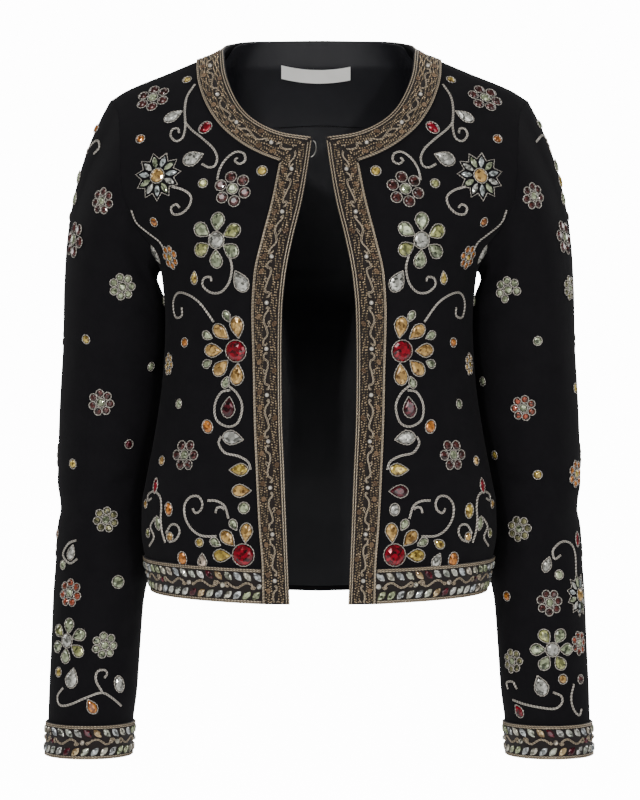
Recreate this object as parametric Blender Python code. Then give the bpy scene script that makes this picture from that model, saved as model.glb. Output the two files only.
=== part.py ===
"""Cropped collarless jacket with beaded bands and jewelled flowers, hollow as when worn.

Metres, +Z up, the front faces -Y and +X is the wearer's left. The origin is midway between
the two high shoulder points, where the neckline meets the shoulder seams. Tables are in
millimetres and in the same frame.
"""

import math

import bmesh
import bpy
import numpy as np

MM = 0.001

# Driving sizes, in metres
CLOTH = 0.0016               # wall of shell cloth with its interlining
LINING_CLOTH = 0.0010        # wall of the lining and the facing
LINING_EASE = 0.0018         # air between the back and the lining that hangs in it
BAND_CLOTH = 0.0014          # beaded ground of a band
SEAM_GAP = 0.0003            # air between two pieces that are sewn together
HALF_SEAM = 0.00018          # how far each cut edge stays back from its seam line
HEM_FRONT = -0.5007          # height of the hem at the centre front
HEM_SIDE = -0.4940
HEM_BACK = -0.5030
HEM_BAND = 0.0310            # height of the jewelled hem and cuff bands
UNDERARM = -0.2020           # height of the armhole's lowest point
NECK_CORNER = (0.0060, -0.0880)
MITRE = (0.0348, -0.1100)    # where front band and neck band meet on their outer edges
SHOULDER_MEET = (0.1120, -0.0092)  # where the neck band's outer edge meets the shoulder seam
BACK_BAND_LOW = -0.0060      # lowest height of the neck band at the centre back
CHEST_LINE = -0.1900         # above it the cloth rounds back to the shoulder
FRONT_DOME = 1.35            # how the front rounds to the shoulder, 1 is straight
BACK_DOME = 2.0
SECTION_POWER = 2.3          # roundness of a level section, 2 is an ellipse
FACING_EDGE = -0.0600        # lower edge of the back neck facing

# Cells of the panels
HEM_ROWS = 2
EDGE_ROWS = 27               # from the hem band to the neck corner
NECK_ROWS = 6
ARM_ROWS = 12                # along half an armhole
ROWS = HEM_ROWS + EDGE_ROWS + NECK_ROWS
CORNER_ROW = HEM_ROWS + EDGE_ROWS
ARM_START = ROWS - ARM_ROWS
BAND_COLUMNS = 2
FRONT_COLUMNS = BAND_COLUMNS + 7
BACK_SIDE_COLUMNS = 3        # from an armhole to the neck band
BACK_NECK_COLUMNS = 4        # from there to the centre back
BACK_COLUMNS = 2 * (BACK_SIDE_COLUMNS + BACK_NECK_COLUMNS)
NECK_STRIP_ROWS = 2
CAP_ROWS = 6                 # sleeve rows from the armhole down to the straight part

# Stones and mounds that stand up from the bands
PEARL_HEIGHT = 0.0028
STONE_HEIGHT = 0.0020
CORD_HEIGHT = 0.0006
PEARL_EVERY = 3              # rows of the panel from one pearl to the next
SCROLL_EVERY = 8             # fine columns from one pearl of a jewelled band to the next

# Level sections of the torso; above the chest line half_width is a virtual width
TORSO_NAMES = ("z", "half_width", "front", "back")
TORSO = (
    (-503, 150, 107, 98),
    (-475, 157, 108, 98),
    (-440, 163, 108, 97),
    (-415, 162.5, 107, 94),
    (-395, 159, 106, 91),
    (-350, 150.5, 103, 86),
    (-300, 143.5, 103, 82),
    (-250, 141, 110, 87),
    (-215, 143.5, 116, 93),
    (-202, 145.5, 117, 94),
    (-196, 148, 118, 95),
    (-183, 155, 118, 95),
    (-167, 171, 118, 95),
    (-147, 190, 118, 95),
    (-120, 207, 118, 95),
    (-100, 220, 118, 95),
    (-75, 233, 118, 95),
    (60, 245, 118, 95),
)

# Shoulder line from the high point out; inside it the two lines only shape the neck
SHOULDER_NAMES = ("x", "front", "back")
SHOULDER = (
    (0, 45, 58),
    (30, 38, 55),
    (55, 25, 44),
    (72, 12, 29),
    (80, 6, 17),
    (87.6, 0, 0),
    (112, -9.2, -9.2),
    (141.7, -21.6, -21.6),
    (162.8, -29.9, -29.9),
    (178, -36.8, -36.8),
    (192, -45.5, -45.5),
    (250, -70, -70),
)

EDGE_NAMES = ("z", "opening", "band")
FRONT_EDGE = (
    (-501, 25.8, 49.5),
    (-468, 27.3, 50.2),
    (-432, 28.7, 53.0),
    (-382, 30.6, 55.6),
    (-337, 32.5, 57.4),
    (-290, 33.0, 58.3),
    (-245, 32.3, 59.3),
    (-211, 29.2, 57.4),
    (-177, 22.5, 49.7),
    (-145, 14.8, 41.6),
    (-110, 9.0, 34.8),
    (-88, 6.0, 30.0),
)

# Neckline and outer edge of its band on the front, from the corner to the shoulder
NECK_NAMES = ("x", "y", "z", "band_x", "band_z")
FRONT_NECK = (
    (6.0, -87.0, -88.0, 34.8, -110.0),
    (30.5, -83.0, -84.3, 52.3, -102.8),
    (53.2, -76.0, -74.3, 72.2, -90.5),
    (68.5, -63.0, -60.0, 92.3, -70.5),
    (79.4, -45.0, -39.2, 104.5, -48.5),
    (84.7, -30.0, -22.1, 110.8, -26.0),
    (87.6, 0.0, 0.0, 112.0, -9.2),
)
BACK_NECK = (
    (87.6, 0.0, 0.0, 112.0, -9.2),
    (85.5, 17.0, 5.5, 107.0, -12.5),
    (76.0, 37.0, 12.0, 91.0, -10.5),
    (57.0, 52.5, 16.0, 64.0, -7.5),
    (30.0, 60.0, 17.5, 32.0, -6.5),
    (0.0, 61.5, 18.0, 0.0, -6.0),
)

ARMHOLE_NAMES = ("x", "z")
ARMHOLE = (
    (145.5, -202),
    (147.5, -195),
    (151, -183),
    (163, -167),
    (173, -147),
    (176.5, -137),
    (179.5, -100),
    (181, -75),
    (184, -57),
    (192, -45.5),
)

# Level sections of a sleeve below the armhole
SLEEVE_NAMES = ("z", "outer", "inner", "y_middle", "half_depth")
SLEEVE = (
    (-235, 236.3, 141.2, 17, 57),
    (-270, 237.8, 139.5, 27, 56),
    (-305, 240.5, 141.5, 34, 54),
    (-340, 242.6, 146.0, 38, 52),
    (-375, 243.8, 152.5, 41, 51),
    (-402, 244.4, 156.5, 43, 50),
    (-419, 241.8, 158.8, 43.5, 48),
    (-436, 244.8, 159.2, 44, 49),
    (-470, 246.2, 157.8, 43, 48.5),
    (-510, 248.6, 164.0, 40, 47.5),
    (-550, 250.0, 166.8, 37.5, 46.5),
    (-590, 251.6, 169.5, 35, 45),
    (-619, 252.4, 173.2, 33.5, 43.5),
    (-634.5, 253.0, 174.6, 33, 43),
    (-650, 253.5, 175.7, 32.5, 42.5),
)

# Soft folds of a sleeve; turn is the direction round it, 0 inner, 90 front, 180 outer
SLEEVE_FOLDS = (
    # z, turn, depth, tall, wide
    (-398, 60, 3.0, 13, 60),
    (-428, 120, 2.5, 12, 55),
    (-372, 20, 2.0, 12, 45),
    (-300, 40, 2.0, 20, 40),
    (-560, 65, 2.0, 22, 40),
)

# Jewelled flowers and stones on a front: centre in the front view, radius and height
MOUND_NAMES = ("x", "z", "radius", "height")
FRONT_MOUNDS = (
    (147, -56, 17, 3.5),
    (116, -40, 5, 2.5),
    (129, -72, 7, 3.0),
    (101, -82, 7, 3.0),
    (111, -108, 8, 3.5),
    (143, -124, 20, 4.0),
    (76, -135, 18, 3.5),
    (50, -119, 5, 2.5),
    (90, -180, 25, 4.5),
    (69, -216, 9, 4.0),
    (130, -194, 14, 3.0),
    (74, -278, 15, 4.5),
    (86, -292, 9, 3.5),
    (83, -256, 8, 3.0),
    (80, -327, 10, 3.5),
    (98, -345, 6, 3.0),
    (76, -354, 8, 3.5),
    (118, -369, 16, 3.5),
    (70, -384, 8, 3.5),
    (70, -401, 8, 3.5),
    (66, -416, 6, 3.0),
    (66, -453, 10, 4.5),
    (69, -437, 9, 4.0),
    (84, -445, 9, 4.0),
    (134, -291, 12, 3.0),
    (137, -424, 12, 3.5),
)

# Jewelled flowers on a sleeve, with the direction round it as above
SLEEVE_MOUNDS = (
    # z, turn, radius, height
    (-118, 140, 14, 3.5),
    (-140, 100, 13, 3.5),
    (-180, 150, 18, 4.0),
    (-226, 85, 13, 3.5),
    (-262, 140, 6, 3.0),
    (-330, 110, 13, 3.5),
    (-330, 215, 13, 3.5),
    (-385, 150, 8, 3.0),
    (-430, 95, 12, 3.5),
    (-430, 230, 12, 3.5),
    (-505, 130, 14, 3.5),
    (-495, 195, 14, 3.5),
    (-545, 120, 22, 4.5),
    (-545, 60, 13, 3.5),
    (-545, 250, 18, 4.0),
    (-585, 110, 9, 4.0),
)

MOUND_SPREAD = 1.1           # a mound reaches this much past its flower
MOUND_CATCH = 0.009          # a net point nearer than this moves to a mound's middle
SLEEVE_RADIUS = 0.045        # for distances round a sleeve

CAP_LEAVE = (0.6, -0.8)      # way a sleeve leaves its armhole: across the seam, and down
CAP_PULLS = (0.36, 0.34)     # how strongly the cap's curve holds its two end directions

MITRE_INSET = 0.013          # rows or columns that a band's cut end stays back from its seam
NECK_MITRE_INSET = 0.009
LINING_HEM = 0.005           # how far the lining stops short of the hem
LABEL_SIZE = (0.065, 0.012)
LABEL_HEIGHT = -0.0125       # middle of the blank woven label
LABEL_BOW = 0.0035           # how far its ends turn up
LABEL_TAPE = 0.0008
LABEL_LIFT = 0.0012          # from the facing to the label's front
EYE_ENDS = (-0.0905, -0.1055)  # heights of the wire bar's ends on the right front's edge
EYE_REACH = 0.0036
EYE_STEPS = 10
WIRE_RADIUS = 0.0006
WELD = 0.000001              # points nearer than this are one

# Finish of each kind of piece: colour, roughness, metallic
FINISHES = {
    "black_crepe": ((0.012, 0.011, 0.014), 0.78, 0.0),
    "beaded_band": ((0.16, 0.10, 0.055), 0.45, 0.35),
    "jewelled_band": ((0.30, 0.25, 0.18), 0.35, 0.30),
    "black_satin": ((0.010, 0.010, 0.014), 0.35, 0.0),
    "white_tape": ((0.80, 0.79, 0.74), 0.70, 0.0),
    "silver_wire": ((0.62, 0.60, 0.56), 0.30, 1.0),
}


def column(table, names, name):
    """One named column of a table, in metres."""
    return np.array([row[names.index(name)] for row in table], dtype=float) * MM


def smooth(xs, ys, at):
    """Smooth curve through points that never overshoots them; xs increase."""
    step = np.diff(xs)
    slope = np.diff(ys) / step
    tangent = np.zeros(len(xs))
    tangent[0] = slope[0]
    tangent[-1] = slope[-1]
    for i in range(1, len(xs) - 1):
        if slope[i - 1] * slope[i] > 0:
            weight_a = 2 * step[i] + step[i - 1]
            weight_b = step[i] + 2 * step[i - 1]
            total = weight_a + weight_b
            tangent[i] = total / (weight_a / slope[i - 1] + weight_b / slope[i])
    at = np.clip(at, xs[0], xs[-1])
    i = np.clip(np.searchsorted(xs, at) - 1, 0, len(xs) - 2)
    t = (at - xs[i]) / step[i]
    return (
        ys[i] * (1 + 2 * t) * (1 - t) ** 2
        + step[i] * tangent[i] * t * (1 - t) ** 2
        + ys[i + 1] * t * t * (3 - 2 * t)
        + step[i] * tangent[i + 1] * t * t * (t - 1)
    )


def look_up(table, names, key, name, at):
    """Value of one column at a place along the key column."""
    keys = column(table, names, key)
    values = column(table, names, name)
    order = np.argsort(keys)
    return smooth(keys[order], values[order], at)


def along(points, part):
    """Place at a share (0 to 1) of the length of a curve through points, one row each."""
    lengths = np.concatenate(([0.0], np.cumsum(np.linalg.norm(np.diff(points, axis=0), axis=1))))
    at = part * lengths[-1]
    return [smooth(lengths, points[:, i], at) for i in range(points.shape[1])]


def unit(vectors):
    """Vectors scaled to length one."""
    return vectors / np.linalg.norm(vectors, axis=-1, keepdims=True)


def torso_width(z):
    """Half width of the torso's section at a height."""
    return look_up(TORSO, TORSO_NAMES, "z", "half_width", z)


def depth(x, z, side):
    """How far the cloth stands in front (side -1) or behind (side 1) at a front view point."""
    face = "front" if side < 0 else "back"
    dome = FRONT_DOME if side < 0 else BACK_DOME
    reach = look_up(TORSO, TORSO_NAMES, "z", face, z)
    ridge = look_up(SHOULDER, SHOULDER_NAMES, "x", face, np.abs(x))
    share = np.clip(np.abs(x) / torso_width(z), 0, 1)
    round_in = (1 - share ** SECTION_POWER) ** (1 / SECTION_POWER)
    up = np.clip((z - CHEST_LINE) / (ridge - CHEST_LINE), 0, 1)
    return side * reach * round_in * (1 - up ** dome) ** (1 / dome)


def turn_of(x, z):
    """Direction round the section, 0 at the centre and a quarter turn at the side."""
    share = np.clip(x / torso_width(z), 0, 1)
    return np.arcsin(share ** (SECTION_POWER / 2))


def side_line(v):
    """Side seam and armhole of a panel, by row."""
    hem_top = HEM_SIDE + HEM_BAND
    z_side = np.interp(v, (0, HEM_ROWS, ARM_START), (HEM_SIDE, hem_top, UNDERARM))
    arm = np.clip((v - ARM_START) / ARM_ROWS, 0, 1)
    arm_x, arm_z = along(np.array(ARMHOLE) * MM, arm)
    on_arm = v > ARM_START
    return np.where(on_arm, arm_x, torso_width(z_side)), np.where(on_arm, arm_z, z_side)


def neck_edge(table, part):
    """Point of a neckline at a share of its length."""
    names = ("x", "y", "z")
    return along(np.stack([column(table, NECK_NAMES, name) for name in names], axis=-1), part)


def neck_band_edge(table, part, side):
    """Front view point of the outer edge of a neckline's band at a share of its length."""
    x = column(table, NECK_NAMES, "band_x")
    z = column(table, NECK_NAMES, "band_z")
    found = along(np.stack((x, depth(x, z, side), z), axis=-1), part)
    return found[0], found[2]


def front_line(v, edge):
    """Front edge and neckline (edge "opening") or the bands' outer edge ("band"), by row."""
    corner_z = NECK_CORNER[1] if edge == "opening" else MITRE[1]
    z_edge = np.interp(v, (0, HEM_ROWS, CORNER_ROW), (HEM_FRONT, HEM_FRONT + HEM_BAND, corner_z))
    x_edge = look_up(FRONT_EDGE, EDGE_NAMES, "z", edge, z_edge)
    part = np.clip((v - CORNER_ROW) / NECK_ROWS, 0, 1)
    if edge == "opening":
        neck_x, _, neck_z = neck_edge(FRONT_NECK, part)
    else:
        neck_x, neck_z = neck_band_edge(FRONT_NECK, part, -1)
    on_neck = v > CORNER_ROW
    return np.where(on_neck, neck_x, x_edge), np.where(on_neck, neck_z, z_edge)


def between(start, stop, share, shoulder_share, v):
    """Front view points between two lines, evenly round the section."""
    x_a, z_a = start
    x_b, z_b = stop
    z = z_a + (z_b - z_a) * share
    turn = turn_of(x_a, z_a) + (turn_of(x_b, z_b) - turn_of(x_a, z_a)) * share
    round_x = torso_width(z) * np.sin(turn) ** (2 / SECTION_POWER)
    straight_x = x_a + (x_b - x_a) * share
    near_top = np.clip(v / ROWS, 0, 1) ** 4
    x = round_x + (straight_x - round_x) * near_top
    return x, z + near_top * shoulder_share


def shoulder_height(x):
    """Height of the shoulder line at a distance from the centre."""
    return look_up(SHOULDER, SHOULDER_NAMES, "x", "front", x)


def shoulder_rise(share, start_x):
    """How far the shoulder line stands off a straight line at a share of its length."""
    tip_x = ARMHOLE[-1][0] * MM
    start = shoulder_height(start_x)
    straight = start + (shoulder_height(tip_x) - start) * share
    return shoulder_height(start_x + (tip_x - start_x) * share) - straight


def front_point(u, v):
    """Point of a left front's outer face; u counts columns from the edge, v rows up."""
    u, v = np.broadcast_arrays(np.asarray(u, float), np.asarray(v, float))
    opening = front_line(v, "opening")
    band = front_line(v, "band")
    side = side_line(v)
    in_band = np.clip(u / BAND_COLUMNS, 0, 1)
    beyond = np.clip((u - BAND_COLUMNS) / (FRONT_COLUMNS - BAND_COLUMNS), 0, 1)
    band_x, band_z = between(opening, band, in_band, 0.0, v)
    rise = shoulder_rise(beyond, SHOULDER_MEET[0])
    body_x, body_z = between(band, side, beyond, rise, v)
    x = np.where(u <= BAND_COLUMNS, band_x, body_x)
    z = np.where(u <= BAND_COLUMNS, band_z, body_z)
    return np.stack((x, depth(x, z, -1), z), axis=-1)


def back_point(u, v):
    """Point of the back's outer face; u counts columns from the right side seam."""
    u, v = np.broadcast_arrays(np.asarray(u, float), np.asarray(v, float))
    half = BACK_COLUMNS / 2
    out = np.abs(u - half)
    sign = np.where(u < half, -1.0, 1.0)
    side = side_line(v)
    middle_z = np.interp(v, (0, HEM_ROWS, ROWS),
                         (HEM_BACK, HEM_BACK + HEM_BAND, BACK_BAND_LOW))
    middle = (np.zeros_like(v), middle_z)
    near_top = np.clip(v / ROWS, 0, 1) ** 4
    share = BACK_NECK_COLUMNS / half
    strip_z = middle_z + (side[1] - middle_z) * share
    strip_x = torso_width(strip_z) * np.sin(turn_of(*side) * share) ** (2 / SECTION_POWER)
    top_z = BACK_BAND_LOW * (1 - share) + ARMHOLE[-1][1] * MM * share
    tip_turn = turn_of(ARMHOLE[-1][0] * MM, ARMHOLE[-1][1] * MM)
    top_x = torso_width(top_z) * np.sin(tip_turn * share) ** (2 / SECTION_POWER)
    strip_z = strip_z + (SHOULDER_MEET[1] - top_z) * near_top
    strip_x = strip_x + (SHOULDER_MEET[0] - top_x) * near_top
    strip = (strip_x, strip_z)
    inner = np.clip(out / BACK_NECK_COLUMNS, 0, 1)
    outer = np.clip((out - BACK_NECK_COLUMNS) / BACK_SIDE_COLUMNS, 0, 1)
    neck_x, neck_z = neck_band_edge(BACK_NECK, 1 - inner, 1)
    flat_x, flat_z = between(middle, strip, inner, 0.0, v)
    straight_z = BACK_BAND_LOW + (SHOULDER_MEET[1] - BACK_BAND_LOW) * inner
    in_x = flat_x + (neck_x - strip_x * inner) * near_top
    in_z = flat_z + (neck_z - straight_z) * near_top
    rise = shoulder_rise(outer, SHOULDER_MEET[0])
    out_x, out_z = between(strip, side, outer, rise, v)
    x = np.where(out <= BACK_NECK_COLUMNS, in_x, out_x)
    z = np.where(out <= BACK_NECK_COLUMNS, in_z, out_z)
    return np.stack((sign * x, depth(x, z, 1), z), axis=-1)


def back_neck_point(u, w):
    """Point of the back between its neckband's outer edge (w 0) and the neckline (w 1)."""
    u, w = np.broadcast_arrays(np.asarray(u, float), np.asarray(w, float))
    out = np.abs(u) / BACK_NECK_COLUMNS
    sign = np.where(u < 0, -1.0, 1.0)
    low_x, low_z = neck_band_edge(BACK_NECK, 1 - out, 1)
    low = np.stack((low_x, depth(low_x, low_z, 1), low_z), axis=-1)
    top = np.stack(neck_edge(BACK_NECK, 1 - out), axis=-1)
    points = low + (top - low) * w[..., None]
    points[..., 0] *= sign
    return points


def normals_of(point, u, v, u_range, v_range):
    """Outward normals of a face, from small steps inside its range."""
    step = 0.02
    u, v = np.broadcast_arrays(np.asarray(u, float), np.asarray(v, float))
    across = point(np.clip(u + step, *u_range), v) - point(np.clip(u - step, *u_range), v)
    up = point(u, np.clip(v + step, *v_range)) - point(u, np.clip(v - step, *v_range))
    return unit(np.cross(across, up))


def armhole_frame(v, side):
    """Points of the armhole with the normal and the way into the sleeve that all walls share."""
    x, z = side_line(v)
    points = np.stack((x, depth(x, z, side), z), axis=-1)
    middle = (z.max() + z.min()) / 2
    radial = np.stack((np.zeros_like(x), points[..., 1], (z - middle) * 0.75), axis=-1)
    normal = unit(unit(radial) + np.array((0.35, 0.0, 0.0)))
    tangent = np.gradient(points, axis=0)
    into = unit(np.cross(normal, tangent) * side)
    into = np.where(into[..., :1] < 0, -into, into)
    return points, normal, into


def grid(u_values, v_values):
    """Rows of u and v for a net of points."""
    return np.meshgrid(np.asarray(u_values, float), np.asarray(v_values, float))


def seam_normals(line, outward):
    """Normals along a seam that lie in the plane between front and back."""
    tangent = np.gradient(line, axis=0)
    flat = np.stack((-tangent[:, 2], np.zeros(len(line)), tangent[:, 0]), axis=-1)
    flat = unit(flat)
    return np.where((flat @ outward)[:, None] < 0, -flat, flat)


def settle_edges(points, normals, side, to_side, to_top, u_axis_end=-1):
    """Keeps a panel's edges back from its side, armhole and shoulder seams."""
    if to_side:
        rows = points.shape[0]
        outward = np.array((np.sign(points[0, u_axis_end, 0]), 0.0, 0.0))
        normals[:, u_axis_end] = seam_normals(points[:, u_axis_end], outward)
        points[:, u_axis_end, 1] += side * HALF_SEAM
        first_arm = rows - ARM_ROWS - 1
        if to_side == "armhole":
            v = np.arange(ARM_START, ROWS + 1, dtype=float)
            edge, normal, into = armhole_frame(v, side)
            sign = np.sign(points[0, u_axis_end, 0])
            flip = np.array((sign, 1.0, 1.0))
            moved = edge - into * HALF_SEAM
            moved[:, 1] += side * HALF_SEAM
            points[first_arm:, u_axis_end] = moved * flip
            normals[first_arm:, u_axis_end] = normal * flip
    if to_top:
        corner = normals[-1, u_axis_end].copy()
        normals[-1] = seam_normals(points[-1], np.array((0.0, 0.0, 1.0)))
        if to_side == "armhole":
            normals[-1, u_axis_end] = corner
            points[-1, :u_axis_end, 1] += side * HALF_SEAM
        else:
            points[-1, :, 1] += side * HALF_SEAM


def finish(name, vertices, faces, finish_name):
    """One closed, smooth object with its faces pointing out."""
    mesh = bpy.data.meshes.new(name)
    work = bmesh.new()
    made = [work.verts.new(tuple(point)) for point in vertices]
    for face in faces:
        if len(set(face)) > 2:
            work.faces.new([made[i] for i in face])
    bmesh.ops.remove_doubles(work, verts=work.verts, dist=WELD)
    bmesh.ops.recalc_face_normals(work, faces=work.faces)
    bmesh.ops.triangulate(work, faces=work.faces, quad_method="SHORT_EDGE")
    work.to_mesh(mesh)
    work.free()
    mesh.shade_smooth()
    mesh.set_sharp_from_angle(angle=math.radians(50))
    colour, roughness, metallic = FINISHES[finish_name]
    material = bpy.data.materials.new(name + "_" + finish_name)
    material.use_nodes = True
    shader = material.node_tree.nodes["Principled BSDF"]
    shader.inputs["Base Color"].default_value = (*colour, 1.0)
    shader.inputs["Roughness"].default_value = roughness
    shader.inputs["Metallic"].default_value = metallic
    mesh.materials.append(material)
    piece = bpy.data.objects.new(name, mesh)
    bpy.context.collection.objects.link(piece)
    return piece


def cell_faces(low, high, rising):
    """Two triangles between two points of a row and the two above them."""
    if rising:
        return [(low[0], low[1], high[1]), (low[0], high[1], high[0])]
    return [(low[0], low[1], high[0]), (low[1], high[1], high[0])]


def net_faces(rows, columns, closed, offset, flip, symmetric):
    """Triangles of a net of points whose numbers start at offset.

    All nets are cut along the same diagonals, so one that lies on another fits it; a
    symmetric net's two halves mirror each other.
    """
    width = columns if closed else columns + 1
    faces = []
    for r in range(rows):
        for c in range(columns):
            right = (c + 1) % width
            low = (offset + r * width + c, offset + r * width + right)
            high = (low[0] + width, low[1] + width)
            rising = not (symmetric and c < columns // 2)
            cell = cell_faces(low, high, rising)
            faces += [face[::-1] for face in cell] if flip else cell
    return faces


def stitch(outer, inner, closed):
    """Rim between two chains of points, the outer with a whole number for each inner one."""
    steps = len(inner) if closed else len(inner) - 1
    many = (len(outer) if closed else len(outer) - 1) // steps
    faces = []
    for i in range(steps):
        here = inner[i]
        there = inner[(i + 1) % len(inner)]
        middle = many // 2
        for k in range(many):
            a = outer[i * many + k]
            b = outer[(i * many + k + 1) % len(outer)]
            if many == 1:
                faces.append((a, b, there, here))
            elif k == middle:
                faces.append((a, here, there))
                faces.append((a, b, there))
            else:
                faces.append((a, b, here if k < middle else there))
    return faces


def net_wall(name, outer, inner, closed, finish_name, symmetric=False):
    """Wall between an outer net and an inner net that may have fewer points."""
    rows, columns = outer.shape[0] - 1, outer.shape[1] - (0 if closed else 1)
    low_rows, low_columns = inner.shape[0] - 1, inner.shape[1] - (0 if closed else 1)
    start = outer.shape[0] * outer.shape[1]
    numbers = np.arange(start).reshape(outer.shape[:2])
    inside = start + np.arange(inner.shape[0] * inner.shape[1]).reshape(inner.shape[:2])
    faces = net_faces(rows, columns, closed, 0, False, symmetric)
    faces += net_faces(low_rows, low_columns, closed, start, True, symmetric)
    faces += stitch(list(numbers[0]), list(inside[0]), closed)
    faces += stitch(list(numbers[-1]), list(inside[-1]), closed)
    if not closed:
        faces += stitch(list(numbers[:, 0]), list(inside[:, 0]), False)
        faces += stitch(list(numbers[:, -1]), list(inside[:, -1]), False)
    vertices = np.concatenate((outer.reshape(-1, 3), inner.reshape(-1, 3)))
    return finish(name, vertices, faces, finish_name)


def mirrored(points, sign):
    """Points, or their mirror image across the middle of the body."""
    return points * np.array((sign, 1.0, 1.0))


def raise_mounds(points, normals, first_row):
    """Lifts a front's outer points where flowers and stones are sewn on."""
    xs = column(FRONT_MOUNDS, MOUND_NAMES, "x")
    zs = column(FRONT_MOUNDS, MOUND_NAMES, "z")
    radii = column(FRONT_MOUNDS, MOUND_NAMES, "radius")
    heights = column(FRONT_MOUNDS, MOUND_NAMES, "height")
    lift = np.zeros(points.shape[:2])
    inner = (slice(first_row, -1), slice(BAND_COLUMNS + 1, -1))
    for x, z, radius, height in zip(xs, zs, radii, heights):
        far = np.hypot(points[..., 0] - x, points[..., 2] - z)
        mound = height * 0.85 * np.clip(1 - (far / (radius * MOUND_SPREAD)) ** 2, 0, 1)
        area = far[inner]
        row, place = np.unravel_index(np.argmin(area), area.shape)
        row, place = row + first_row, place + BAND_COLUMNS + 1
        if far[row, place] < MOUND_CATCH:
            points[row, place] = (x, depth(x, z, -1), z)
            mound[row, place] = height
        lift = np.maximum(lift, mound)
    free = np.zeros_like(lift)
    free[inner] = lift[inner]
    return points + normals * free[..., None]


def make_front(name, sign):
    """One front: a wall from the opening to the side seam, armhole and shoulder."""
    u, v = grid(range(FRONT_COLUMNS + 1), range(ROWS + 1))
    points = front_point(u, v)
    normals = normals_of(front_point, u, v, (0, FRONT_COLUMNS), (0, ROWS))
    settle_edges(points, normals, -1, "armhole", True)
    inner = points - normals * CLOTH
    outer = raise_mounds(points.copy(), normals, HEM_ROWS + 1)
    net_wall(name, mirrored(outer, sign), mirrored(inner, sign), False, "black_crepe")


def lifted_band(name, point, u_lines, v_lines, ranges, fine, raise_points, sign, settle, kind,
                symmetric=False):
    """Band that lies on a panel: inner points on the panel's own, a finer outer face."""
    def spread(lines, times):
        lines = np.asarray(lines, float)
        steps = np.arange((len(lines) - 1) * times + 1) / times
        return np.interp(steps, np.arange(len(lines)), lines)

    nets = []
    for times_u, times_v, lift in ((1, 1, SEAM_GAP), (fine[0], fine[1], SEAM_GAP + BAND_CLOTH)):
        u, v = grid(spread(u_lines, times_u), spread(v_lines, times_v))
        points = point(u, v)
        normals = normals_of(point, u, v, *ranges)
        if settle:
            settle(points, normals)
        height = np.full(u.shape, lift)
        if lift > SEAM_GAP:
            height = height + raise_points(u.shape)
        nets.append(points + normals * height[..., None])
    net_wall(name, mirrored(nets[1], sign), mirrored(nets[0], sign), False, kind, symmetric)


def pearl_heights(first, every):
    """Heights of a beaded band: corded edges and a pearl at each step of the middle line."""
    def heights(shape):
        lift = np.zeros(shape)
        lift[:, 0] = CORD_HEIGHT
        lift[:, -1] = CORD_HEIGHT
        lift[first::every, shape[1] // 2] = PEARL_HEIGHT
        return lift
    return heights


def stone_heights(shape):
    """Heights of a jewelled band: two rows of slanted stones and pearls between them."""
    lift = np.zeros(shape)
    lift[0] = CORD_HEIGHT
    lift[-1] = CORD_HEIGHT
    lift[1, 1::2] = STONE_HEIGHT
    lift[3, 1::2] = STONE_HEIGHT
    lift[2, 4::SCROLL_EVERY] = PEARL_HEIGHT
    return lift


def across_heights(shape):
    """Heights of the back neckband, whose length runs along the columns."""
    return pearl_heights(2, 4)(shape[::-1]).T


def make_front_bands(name_end, sign):
    """The beaded bands of one front: down the edge, round the neck and along the hem."""
    ranges = ((0, FRONT_COLUMNS), (0, ROWS))
    edge_u = (0, 1, BAND_COLUMNS - MITRE_INSET)
    edge_v = list(range(CORNER_ROW)) + [CORNER_ROW - MITRE_INSET]
    edge_ranges = (ranges[0], (0, CORNER_ROW))
    heights = pearl_heights(4, 2 * PEARL_EVERY)
    lifted_band("front_band_" + name_end, front_point, edge_u, edge_v, edge_ranges, (2, 2),
                heights, sign, None, "beaded_band")

    def at_shoulder(points, normals):
        settle_edges(points, normals, -1, "", True)

    neck_v = [CORNER_ROW + NECK_MITRE_INSET] + list(range(CORNER_ROW + 1, ROWS + 1))
    neck_ranges = (ranges[0], (CORNER_ROW, ROWS))
    lifted_band("neck_band_" + name_end, front_point, (0, 1, BAND_COLUMNS), neck_v, neck_ranges,
                (2, 2), pearl_heights(2, 4), sign, at_shoulder, "beaded_band")

    def at_side(points, normals):
        settle_edges(points, normals, -1, "side", False)

    hem_u = [BAND_COLUMNS + MITRE_INSET] + list(range(BAND_COLUMNS + 1, FRONT_COLUMNS + 1))
    lifted_band("hem_band_" + name_end, front_point, hem_u, range(HEM_ROWS + 1), ranges,
                (5, 2), stone_heights, sign, at_side, "jewelled_band")


def back_net():
    """Points, normals and faces of the back with its neck strip."""
    u, v = grid(range(BACK_COLUMNS + 1), range(ROWS + 1))
    points = back_point(u, v)
    normals = -normals_of(back_point, u, v, (0, BACK_COLUMNS), (0, ROWS))
    settle_edges(points, normals, 1, "armhole", False, 0)
    settle_edges(points, normals, 1, "armhole", False, -1)
    up = np.array((0.0, 0.0, 1.0))
    for seam in (slice(1, BACK_SIDE_COLUMNS + 1), slice(-BACK_SIDE_COLUMNS - 1, -1)):
        normals[-1, seam] = seam_normals(points[-1, seam], up)
        points[-1, seam, 1] += HALF_SEAM
    neck_u = np.arange(-BACK_NECK_COLUMNS, BACK_NECK_COLUMNS + 1)
    u, w = grid(neck_u, np.arange(1, NECK_STRIP_ROWS + 1) / NECK_STRIP_ROWS)
    strip = back_neck_point(u, w)
    strip_normals = back_neck_normals(u, w)
    settle_strip(strip, strip_normals)
    return points, normals, strip, strip_normals


def back_neck_normals(u, w):
    """Outward normals of the back's neck strip."""
    reach = (-BACK_NECK_COLUMNS, BACK_NECK_COLUMNS)
    return -normals_of(back_neck_point, u, w, reach, (0, 1))


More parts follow.
